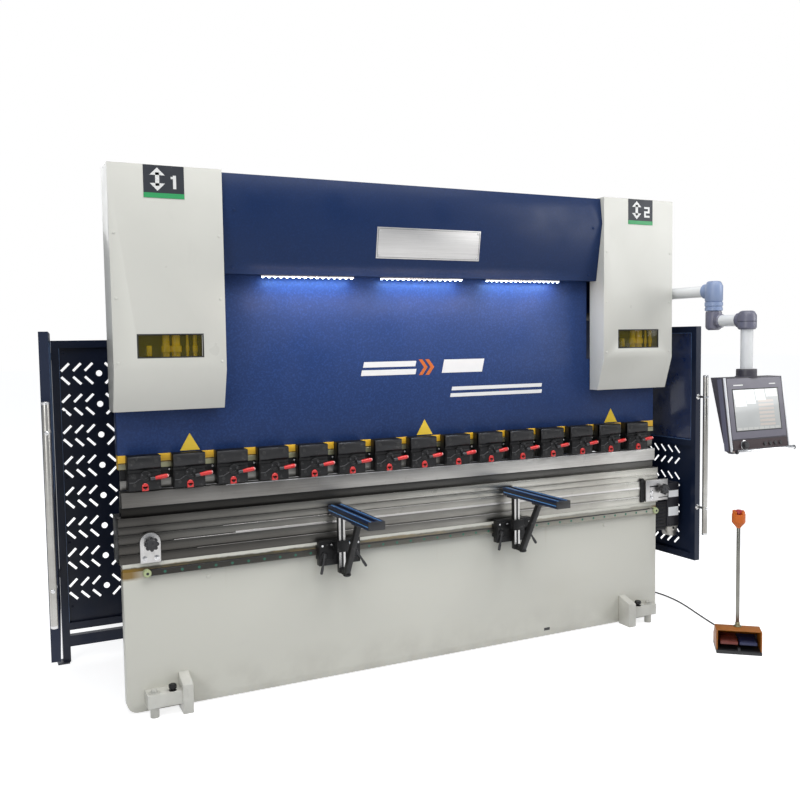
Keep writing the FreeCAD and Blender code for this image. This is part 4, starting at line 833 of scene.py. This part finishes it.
# Sheet supports: grooved arm, end cap, post faces, slide covers and levers
def support_details(side, x):
    body = "arm_" + side
    high = 911
    grooves, lines = [], []
    for shift in (-30, 22):
        lines.append(block((x + shift, FACE - 518, high - 0.5), (x + shift + 4.5, FACE - 20, high + 1.2),
                           0.5, 1))
    lines.append(block((x - 42.8, FACE - 518, high - 26), (x - 41.5, FACE - 20, high - 22), 0.4, 1))
    finish("arm_lines_" + side, arm_azure, *lines, body=body)
    # Painted shade: black strips in the grooves along the arm's sides.
    grooves.append(block((x - 42.6, FACE - 518, high - 20), (x - 41.5, FACE - 16, high - 11), 0))
    grooves.append(block((x + 41.5, FACE - 518, high - 20), (x + 42.6, FACE - 16, high - 11), 0))
    finish("arm_grooves_" + side, rubber_and_recess_shade, *grooves, body=body)
    cap = block((x - 42.5, FACE - 526.5, high - 40.5), (x + 42.5, FACE - 516, high + 0.5), 3)
    lip = block((x - 34, FACE - 527.5, high - 34), (x + 34, FACE - 520, high - 6), 2)
    shoe = block((x - 30, FACE - 110, high - 53.5), (x + 30, FACE - 30, high - 39.5), 4)
    heel = block((x - 26, FACE - 345, high - 56), (x + 26, FACE - 270, high - 39.5), 5)
    finish("arm_caps_" + side, black_plastic, cap, lip, shoe, heel, body=body)
    post_y = RAIL_FACE - 0.3 - 38 - 33
    strips = [block((x - 16.8, post_y - 0.6, 600), (x - 6, post_y + 4, 868), 0.6, 1),
              block((x + 6, post_y - 0.6, 600), (x + 16.8, post_y + 4, 868), 0.6, 1)]
    finish("post_lips_" + side, bar_steel, *strips, body=body)
    slot = block((x - 5.8, post_y - 0.3, 600), (x + 5.8, post_y + 2, 868), 0)
    finish("post_slot", dark_steel, slot, body=body)
    nose = turned((x + 2, post_y - 52, 570.5), "-z", [(20, -8), (20, 0), (15, 4)], 20)
    finish("post_foot", clamp_black, nose, body=body)
    carriage = "carriage_" + side
    front = RAIL_FACE - 38.3
    plates = [block((x - 110, front - 6, 640), (x - 36, front + 2, 729), 3),
              block((x + 36, front - 6, 640), (x + 110, front + 2, 729), 3)]
    for shift in (-88, 88):
        plates.append(turned((x + shift, front - 4, 668), "-y", [(16, 0), (16, 10), (12, 13)], 20))
    finish("slide_covers_" + side, clamp_black, *plates, body=carriage)
    screws = []
    for shift in (-98, -48, 48, 98):
        screws += cap_screw((x + shift, front - 5.5, 715), "-y", 5.8, 5, 14)
    finish("slide_screws_" + side, stainless, *screws, body=carriage)
    levers = []
    for shift, degrees in ((-88, 12), (88, -32)):
        place = (x + shift, front - 13, 668)
        bar = turned(place, "-z", [(7, -8), (8.5, 10), (5.5, 20), (5.5, 55), (7.5, 68), (7.5, 94),
                                   (4.5, 98)], 14)
        levers.append(tilt(bar, place, degrees, "Y"))
    finish("slide_levers_" + side, black_plastic, *levers, body=carriage)


# Side guards: hole rings, light blue strips of painted highlight on the edges, rivets and feet, then what the
# leaves carry
HOLE_RING = [(25.5, 0), (25.5, 1.4), (16.5, 1.4), (16.5, 0), (25.5, 0)]


def guard_details():
    y = FACE + 900
    edges, bolts = [], []
    for sign in (-1, 1):
        x = sign * 1800
        # Painted highlight: light blue strips along the guards' vertical edges.
        inner = x - sign * 40.5
        low, high = sorted((inner, inner + sign * 2.2))
        edges.append(block((low, y - 0.6, 220), (high, y + 4, 1728), 0.4, 1))
        side = sorted((sign * 1360.5, sign * 1362.7))
        edges.append(block((side[0], y + 19.4, 220), (side[1], y + 20.6, 1728), 0))
        for z in (300, 660, 1020, 1380, 1700):
            for at in (sign * 1385, sign * 1742):
                bolts.append(turned((at, y + 20.2, z), "-y", [(8, 0), (7, 2), (4, 3.2)], 12))
        foot = block((x - 32 if sign > 0 else x - 30, y - 30, 0),
                     (x + 30 if sign > 0 else x + 32, y + 50, 8), 1.5, 1)
        bolts.append(foot)
    rings = [turned((sign * 1555, y + 20.2, 1588 - 170 * row), "-y", HOLE_RING, 20, True) for sign in (-1, 1)
             for row in range(8)]
    finish("hole_rings", guard_enamel, *rings)
    finish("guard_edge_highlights", edge_highlight_blue, *edges)
    finish("guard_rivets", guard_enamel, *bolts)
    for side, sign, degrees in (("left", -1, LEFT_LEAF), ("right", 1, RIGHT_LEAF)):
        hinge = (sign * 1825, y - 30, 0)
        body = "door_" + side

        def on_leaf(piece):
            piece.location = metres(hinge)
            settle(piece)
            return tilt(piece, hinge, degrees, "Z")

        def fit(name, material, *pieces):
            finish(name, material, *pieces, body=body, by=on_leaf)

        start, length = -25, 940
        nose = start - length
        # Painted highlight: light blue strips round each leaf's window.
        trims = [block((-20.6, nose + 38.4, 1104), (20.6, nose + 40.2, 1764), 0),
                 block((-20.6, start - 40.2, 1104), (20.6, start - 38.4, 1764), 0),
                 block((-20.6, nose + 40, 1099.5), (20.6, start - 40, 1101.2), 0),
                 block((-20.6, nose + 40, 1764.8), (20.6, start - 40, 1766.5), 0)]
        fit("leaf_edge_highlights_" + side, edge_highlight_blue, *trims)
        rings = [turned((way * 1.5, start - length / 2, 990 - 170 * row), "x" if way > 0 else "-x",
                        HOLE_RING, 20, True) for way in (-1, 1) for row in range(4)]
        fit("leaf_rings_" + side, guard_enamel, *rings)
        beads = []
        for at in (-4.5, 2.8):
            beads.append(block((at, nose + 40, 1101), (at + 1.7, nose + 50, 1765), 0))
            beads.append(block((at, start - 50, 1101), (at + 1.7, start - 40, 1765), 0))
        fit("pane_beads_" + side, rubber_and_recess_shade, *beads)
        domes = []
        for z in (684, 1372):
            domes.append(turned((0, nose + 2, z), "-y", [(17, 0), (17, 3), (9, 10)], 24))
            domes.append(turned((0, nose - 60 - 14.5, z), "-y", [(10, 0), (9, 3), (5, 5.5)], 20))
        for low, way in ((520, "-z"), (1503, "z")):
            domes.append(turned((0, nose - 60, low), way, [(16.3, -10), (16.3, 0), (13.5, 3), (6, 4.2)], 28))
        fit("handle_ends_" + side, stainless, *domes)


# Pendant arm: flange, jointed tubes and faceted elbows
def arm_shapes():
    x, high, elbow_y = 1700, 2005, FACE - 362
    flange = block((1622, -776, 1935), (1634, -656, 2075), 3)
    knee = block((1634, -749, 1972), (1733, -683, 2038), 12, 3)
    gusset = block((1634, -722, 1940), (1690, -710, 1976), 0)
    carve(gusset, ((1690, 0, 1974), (0.55, 0, -0.83)))
    run = turned((x, -690, high), "-y", [(32.5, 0), (33, 2), (33, 340), (36, 344), (36, 352)], 40)
    finish("arm_tube_white", tube_white, flange, knee, gusset, run, hides=("pendant_arm_upper",))
    screws = []
    for sy in (-766, -666):
        for sz in (1947, 2063):
            screws += cap_screw((1633.5, sy, sz), "x", 6, 5, 14)
    finish("flange_screws", stainless, *screws)
    facets = turned((x, elbow_y, 1940.5), "z", [(46, 0), (52, 10), (52, 92), (40, 116), (30, 121)], 12)
    mouth = turned((x, elbow_y + 20, high), "y", [(40, 0), (44, 12), (44, 45), (38, 52)], 12)
    finish("elbow_one", pale_blue_enamel, facets, mouth)
    collar = turned((x, elbow_y, 1889.5), "z", [(45, 0), (50, 3), (50, 18), (47, 20), (47, 26), (51, 30),
                                                (51, 51)], 36)
    finish("elbow_collar", pale_blue_enamel, collar)
    low = high - 174
    lower = turned((x, elbow_y, low - 52), "z", [(30, 0), (44, 10), (47, 22), (47, 100), (44, 108.5)], 12)
    throat = turned((x, elbow_y - 28, low), "-y", [(36, 0), (41, 10), (41, 30), (36, 36)], 12)
    finish("elbow_lower", elbow_grey, lower, throat, body="pendant_arm", hides=("pendant_arm_lower",))
    tube = turned((x, elbow_y - 50, low), "-y", [(32.5, 0), (33, 2), (33, 160)], 40)
    finish("arm_reach", tube_white, tube, body="pendant_arm")
    end_y = elbow_y - 247
    corner = turned((x, end_y, low - 52), "z", [(44, 0), (52, 10), (52, 78), (40, 99), (28, 104)], 12)
    seam = turned((x, end_y + 24, low), "y", [(40, 0), (43, 8), (43, 34), (37, 40)], 12)
    finish("elbow_end", elbow_grey, corner, seam, body="pendant_arm")
    band = turned((x, end_y, low - 10), "z", [(51.5, 0), (52.6, 1), (52.6, 5), (51.5, 6)], 12)
    finish("corner_seam", joint_grey, band, body="pendant_arm")
    drop = turned((x, end_y, low - 271), "z", [(33, 0), (33.5, 2), (33.5, 218), (37, 222), (37, 230)], 40)
    finish("arm_drop", tube_white, drop, body="pendant_arm")


# Pendant: face, screen picture, tray with knob and buttons, trims, ribs
def pendant_details():
    x = 1700
    top_y, top = FACE - 609 - 50, 1516
    lean = math.degrees(math.atan2(62, 408))
    pivot = (x, top_y, top)

    def on_face(piece):
        return tilt(piece, pivot, -lean)

    def fit(name, material, *pieces):
        finish(name, material, *pieces, body="pendant_head", by=on_face)

    def pane(name, left, right, low, high, proud, material, edge=0):
        piece = block((x + left, top_y - proud, top + low), (x + right, top_y + 1, top + high), edge, 1)
        fit(name, material, piece)

    pane("pendant_bezel", -206, 206, -336, -4, 2.2, bezel_slate, 1.5)
    rim = frame_of((x - 174, top_y - 3.6, top - 296), (x + 174, top_y - 1, top - 62), 5, 0.6)
    fit("screen_rim", rubber_and_recess_shade, rim)
    pane("screen_glass", -169, 169, -292, -66, 2.7, screen_grey)
    rows = [block((x + 12, top_y - 3.1, top - 270 + 21.5 * step),
                  (x + 128, top_y - 2, top - 257 + 21.5 * step), 0) for step in range(7)]
    fit("screen_rows", screen_beige, *rows)
    keys = [block((x - 160 + 40.5 * step, top_y - 3.1, top - 289.5),
                  (x - 126 + 40.5 * step, top_y - 2, top - 275.5), 0) for step in range(8)]
    fit("screen_keys", screen_pale, *keys)
    bright = []
    for left, right, low in ((-166, -86, -160), (-81, -14, -148), (-9, 64, -130), (69, 158, -112)):
        bright.append(slanted((x + left + 8, top_y - 3.4, top + low), (x + right, top_y - 2, top - 69),
                              -0.12))
    fit("screen_lights", screen_white, *bright)
    marks = [block((x + left, top_y - 2.7, top + low), (x + right, top_y - 1.5, top + low + 6), 0)
             for left, right, low in ((-160, -90, -45), (110, 158, -43))]
    fit("bezel_marks", white_plastic, *marks)
    pane("pendant_tray", -204, 204, -398, -342, 1.8, tray_maroon, 1)
    knob = turned((x - 125, top_y - 1, top - 370), "-y", [(24, 0), (24, 6), (19, 9), (17, 20), (14, 22)], 28)
    fit("pendant_knob", black_plastic, knob)
    ring = turned((x - 125, top_y - 1, top - 370), "-y", [(26.5, 0), (26.5, 3), (24.5, 4)], 28)
    fit("knob_ring", chrome, ring)
    buttons = [turned((x + 30 + 40 * step, top_y - 1, top - 370), "-y", [(11, 0), (11, 4), (9, 7)], 20)
               for step in range(4)]
    fit("tray_buttons", black_plastic, *buttons)
    trims = [block((x + left, top_y - 3.4, top - 402), (x + left + 5.5, top_y + 10, top + 1), 1.5)
             for left in (-218.5, 213)]
    fit("side_trims", screen_white, *trims)
    strips = [block((x + left, top_y + 22, top - 396), (x + left + 3, top_y + 52, top - 2), 1, 1)
              for left in (-219.5, 216.5)]
    fit("side_bands", elbow_grey, *strips)
    ribs = []
    for step in range(13):
        z = top - 18 - 26.8 * step
        depth = top_y + 98 - 0.2759 * (top - z)
        ribs.append(block((x - 214, depth - 10, z - 9), (x + 214, depth + 4.5, z + 9), 3, 1))
    finish("back_ribs", black_plastic, *ribs, body="pendant_head")
    collar = turned((x, FACE - 609, 1512), "z", [(62, 0), (62, 6), (55.5, 10), (55.5, 40), (50, 47.4)], 36)
    finish("pendant_collar_skin", collar_dark, collar, body="pendant_head")
    ends = [turned((x + side * 218, top_y - 62 - 30, top - 394), "-x" if side < 0 else "x",
                   [(11.8, -5), (11.8, 0), (9, 2)], 24) for side in (-1, 1)]
    finish("grip_caps", black_plastic, *ends, body="pendant_head")


# Foot station: hood rims, ribbed treadles, mushroom stop, the lead's gland
def station_details():
    centre, turn = (1593, FACE - 666, 0), -40

    def on_station(piece):
        tilt(piece, (0, 0, 0), turn, "Z")
        piece.location = metres(centre)
        return settle(piece)

    lip = [block((-118.5, -86.5, 16), (-111, -83.5, 126), 1, 1),
           block((111, -86.5, 16), (118.5, -83.5, 126), 1, 1),
           block((-118.5, -76.5, 122.5), (118.5, -73.5, 130), 1, 1)]
    finish("hood_rims", station_ochre, *lip, by=on_station)
    pads = [block((-116.8, -98, 0), (116.8, -88, 20), 4), block((-8, -94, 14), (8, -70, 34), 4)]
    finish("station_lips", black_plastic, *pads, by=on_station)
    for side, left, material in (("left", -96, deep_red_plastic), ("right", 4, blue_plastic)):
        ribs = [block((left + 6, -64 + 12.5 * step, 61.5), (left + 86, -58.5 + 12.5 * step, 64), 0.8, 1)
                for step in range(8)]
        nose = block((left, -73.5, 46), (left + 92, -66.5, 63.5), 3)
        finish("tread_" + side, material, nose, *ribs, by=on_station, body="treadle_" + side)
    socket = turned((0, 0, 128.5), "z", [(22, 0), (22, 3), (13.5, 8), (12.5, 22), (10.5, 24)], 28)
    finish("column_socket", brass_bar, socket, by=on_station)
    shell = turned((0, 0, 684), "z", [(11.5, 0), (12.5, 4), (33, 28), (36, 34), (36, 78), (30, 78.5),
                                      (27.5, 62)], 36)
    teeth = []
    for step in range(4):
        tooth = block((26.5, -10.5, 755), (35, 10.5, 779.5), 1.5, 1)
        teeth.append(tilt(tooth, (0, 0, 0), 45 + 90 * step, "Z"))
    finish("stop_shell", stop_orange, shell, *teeth, by=on_station, hides=("stop_housing",))
    cap = turned((0, 0, 752), "z", [(10, 0), (12, 8), (19, 12), (20, 20), (17.5, 29), (11, 33.5), (4, 35)],
                 32)
    finish("stop_mushroom", stop_red, cap, by=on_station, body="button", hides=("stop_button",))
    gland = turned((0, 94.5, 42), "y", [(10, 0), (10, 6), (8, 7), (6.5, 18)], 16)
    finish("lead_gland", black_plastic, gland, by=on_station)


# Crowning drive and fittings at the table's right end
def drive_details():
    front = FACE - 10
    stickers = [block((1692, front - 0.7, low), (1772, front + 1, high), 0.3, 1)
                for low, high in ((744, 786), (626, 682))]
    finish("plain_stickers", screen_white, *stickers)
    plug = block((1690, front - 4, 500), (1768, front + 70, 561.5), 3)
    carve(plug, ((1690, 0, 560), (-1, 0, -0.3)), ((1768, 0, 560), (1, 0, -0.3)))
    finish("plug_body", handle_steel, plug)
    clip = turned((1729, front - 3, 549), "-y", [(8, 0), (8, 5), (4, 7)], 18)
    finish("plug_clip", clamp_black, clip)
    screws = []
    for sx in (1694, 1766):
        for sz in (575, 728, 820):
            screws += cap_screw((sx, front, sz), "-y", 4, 3, 12)
    finish("drive_screws", clamp_black, *screws)
    fins = [block((1606, FACE - 6, 552 + 21 * step), (1680, FACE + 2, 560 + 21 * step), 1, 1)
            for step in range(8)]
    finish("drive_fins", clamp_black, *fins)
    strap = [block((1474, FACE - 6, 730), (1502, FACE + 2, 872), 2),
             turned((1486, FACE - 5, 866), "-y", [(14, 0), (14, 4), (6, 5)], 20)]
    finish("end_strap", clamp_black, *strap)
    slot = [block((1530, FACE - 22.6, 822), (1598, FACE - 21, 830), 0.6, 1),
            block((1600, FACE - 22.6, 752), (1676, FACE - 21, 756.5), 0.6, 1)]
    finish("end_slots", clamp_black, *slot)
    bolts = [bolt((1545, RAIL_FACE, z), "-y", 14, 7, 2) for z in (757, 790)]
    finish("end_bolts", stainless, *bolts)


# Plain fittings on the rear side
def rear_details():
    tank_top = 2270
    filler = turned((-950, -60, tank_top + 12), "z", [(45, 0), (45, 12), (34, 16), (34, 55), (42, 58),
                                                      (42, 85), (30, 92)], 36)
    finish("filler_cap", black_plastic, filler)
    back = 250
    glass = block((-1130, back - 1, 1950), (-1095, back + 12, 2130), 4)
    finish("level_glass", amber_pane, glass)
    rims, bolts = [], []
    for x in (-550, 450):
        rims.append(block((x - 200, back - 1, 1935), (x + 200, back + 10, 2215), 4))
        for sx in (-180, -60, 60, 180):
            for sz in (1955, 2195):
                bolts.append(bolt((x + sx, back + 10, sz), "y", 12, 6, 1.5))
    finish("tank_hatches", frame_enamel, *rims)
    finish("hatch_bolts", stainless, *bolts)
    pump_y, pump_z = -60, tank_top + 12 + 120
    fins = []
    for step in range(12):
        x = -150 + 24.5 * step
        fins.append(turned((x, pump_y, pump_z), "x", [(116, 0), (124, 1), (124, 4), (116, 5)], 32))
    cowl = turned((165, pump_y, pump_z), "x", [(122, 0), (123.5, 4), (123.5, 46), (112, 54), (40, 56)], 40)
    nose = turned((-205, pump_y, pump_z), "-x", [(118, 0), (118, 10), (80, 14), (70, 60), (55, 66)], 32)
    finish("motor_body_skin", grey_enamel, cowl, nose, *fins)
    box = block((-60, pump_y - 175, pump_z - 50), (60, pump_y - 112, pump_z + 50), 6)
    finish("motor_box", grey_enamel, box)
    door = block((1678.5, 246, 650), (1684.5, 734, 1490), 4)
    finish("cabinet_door", white_enamel, door)
    catches = [turned((1684, 290, z), "x", [(18, 0), (18, 6), (10, 8), (10, 14)], 24) for z in (850, 1300)]
    catches += [block((1696, 284, z - 16), (1703, 296, z + 16), 2) for z in (850, 1300)]
    catches += [block((1680, 728, z - 35), (1692, 744, z + 35), 3) for z in (780, 1360)]
    finish("cabinet_catches", black_plastic, *catches)
    # Painted shade: black strips for the vent slots.
    vents = [block((1400, 749.5, 1300 + 22 * step), (1620, 751.5, 1309 + 22 * step), 0.6, 1)
             for step in range(7)]
    finish("cabinet_vents", rubber_and_recess_shade, *vents)
    bolts = []
    for sx in (-1, 1):
        for z in (200, 320):
            for y in (710, 790):
                bolts.append(bolt((sx * 1360, y, z), "x" if sx > 0 else "-x", 22, 12, 3))
        for z in (2200, 2360, 2480):
            bolts.append(bolt((sx * 1360, -420, z), "x" if sx > 0 else "-x", 22, 12, 3))
    finish("tie_bolts", stainless, *bolts)
    rails = block((-1250, -112.5, 935), (1250, -108.5, 955), 1, 1)
    finish("gauge_rail", chrome, rails)
    tips = []
    for x in (-520, 520):
        tips.append(block((x - 20, -268, 976.5), (x + 20, -258.5, 1022), 1.5, 1))
        tips.append(turned((x, -170, 1019), "z", [(16, 0), (18, 4), (18, 18), (12, 22)], 20))
    finish("finger_tips", tool_steel, *tips)
    caps = []
    for sx in (-1, 1):
        x, y = sx * 1335, RAM_FACE + 35
        caps.append(turned((x, y, 2380), "z", [(115.5, 0), (121, 4), (121, 26), (115.5, 30)], 48))
        for step in range(8):
            angle = math.pi * step / 4 + 0.4
            caps.append(bolt((x + 78 * math.cos(angle), y + 78 * math.sin(angle), 2469.5), "z", 13, 9))
    finish("cylinder_caps", part_steel, *caps)


# The foot station's lead, over the floor to the right frame
def lead():
    route = [(1.654, -1.323, 0.042), (1.699, -1.269, 0.042), (1.738, -1.178, 0.015),
             (1.772, -1.08, 0.005), (1.806, -0.97, 0.005), (1.842, -0.86, 0.005),
             (1.882, -0.748, 0.005), (1.92, -0.635, 0.005), (1.946, -0.522, 0.005),
             (1.957, -0.405, 0.005), (1.943, -0.288, 0.005), (1.902, -0.177, 0.005),
             (1.843, -0.074, 0.005), (1.775, 0.024, 0.005), (1.698, 0.114, 0.005),
             (1.615, 0.192, 0.005), (1.54, 0.232, 0.018), (1.47, 0.269, 0.1), (1.425, 0.276, 0.15),
             (1.36, 0.276, 0.15)]
    curve = bpy.data.curves.new("pedal_lead", "CURVE")
    curve.dimensions = "3D"
    spline = curve.splines.new("NURBS")
    spline.points.add(len(route) - 1)
    for point, place in zip(spline.points, route):
        point.co = (*place, 1)
    spline.order_u = 3
    spline.use_endpoint_u = True
    curve.bevel_depth = 0.0045
    curve.bevel_resolution = 4
    curve.materials.append(rubber_and_recess_shade)
    piece = bpy.data.objects.new("pedal_lead", curve)
    bpy.context.scene.collection.objects.link(piece)
    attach(piece, "machine_frame")
    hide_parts("pedal_cord")


# A white floor and sky as the camera sees them, and the lamps
def stage():
    lay_down()
    bpy.ops.mesh.primitive_plane_add(size=120, location=(0, 0, -0.0005))
    floor = settle(bpy.context.object)
    floor.name = "floor"
    f = Finish("floor_pale", (0.55, 0.55, 0.55), 0.9)
    path = f.tree.nodes.new("ShaderNodeLightPath")
    seen = Wire(f, path.outputs["Is Camera Ray"]) + Wire(f, path.outputs["Is Glossy Ray"])
    seen = seen + Wire(f, path.outputs["Is Transmission Ray"])
    f.set("Emission Color", (1, 1, 1, 1))
    f.set("Emission Strength", seen.clip(0, 1, 0, 0.8))
    f.set("Specular IOR Level", 0)
    floor.data.materials.append(f.material)

    world = bpy.data.worlds.new("studio")
    bpy.context.scene.world = world
    world.use_nodes = True
    nodes, links = world.node_tree.nodes, world.node_tree.links
    lit = nodes["Background"]
    lit.inputs["Color"].default_value = (0.8, 0.84, 0.9, 1)
    lit.inputs["Strength"].default_value = 0.42
    shown = nodes.new("ShaderNodeBackground")
    shown.inputs["Color"].default_value = (1, 1, 1, 1)
    path = nodes.new("ShaderNodeLightPath")
    most = nodes.new("ShaderNodeMath")
    most.operation = "MAXIMUM"
    links.new(path.outputs["Is Camera Ray"], most.inputs[0])
    links.new(path.outputs["Is Transmission Ray"], most.inputs[1])
    blend = nodes.new("ShaderNodeMixShader")
    links.new(most.outputs[0], blend.inputs[0])
    links.new(lit.outputs[0], blend.inputs[1])
    links.new(shown.outputs[0], blend.inputs[2])
    links.new(blend.outputs[0], nodes["World Output"].inputs["Surface"])

    def lamp(name, place, aim, size, power, colour=(1, 1, 1)):
        data = bpy.data.lights.new(name, "AREA")
        data.shape = "RECTANGLE"
        data.size, data.size_y = size
        data.energy = power
        data.color = colour
        thing = bpy.data.objects.new(name, data)
        bpy.context.scene.collection.objects.link(thing)
        thing.location = place
        thing.visible_camera = False
        thing.rotation_euler = (Vector(aim) - Vector(place)).to_track_quat("-Z", "Y").to_euler()

    for middle in LIGHT_STRIPS:
        x = middle / 1000
        lamp("ram_light", (x, -0.748, 2.056), (x, -0.705, 1.93), (0.46, 0.02), 0.95, (0.34, 0.62, 1))
    lamp("ram_wash", (-0.02, -0.93, 2.02), (-0.02, -0.7, 1.72), (1.9, 0.1), 4.2, (1, 0.86, 0.82))
    lamp("high_panel", (0, -3.2, 6), (0, -0.6, 1.2), (7, 3.5), 270)
    lamp("left_panel", (-6.5, -5.5, 3.2), (0, -0.6, 1.3), (3, 3.5), 150)
    lamp("right_panel", (6, -4.5, 3.5), (1, -0.6, 1.3), (3, 3), 128)
    lamp("back_panel", (0, 6, 4.5), (0, 0, 1.5), (6, 3), 120)


set_camera()
lead()
for node, (material, edge) in DRESS.items():
    dress(node, material, edge)
for node in ("guard_panel_left", "guard_panel_right", "guard_door_left", "guard_door_right"):
    coat(node, guard_enamel)
cover_details()
hood_details()
ram_details()
clamps()
rail_details()
feet_details()
support_details("left", -537)
support_details("right", 516)
guard_details()
arm_shapes()
pendant_details()
station_details()
drive_details()
rear_details()
stage()

bpy.context.scene.view_settings.view_transform = "Standard"
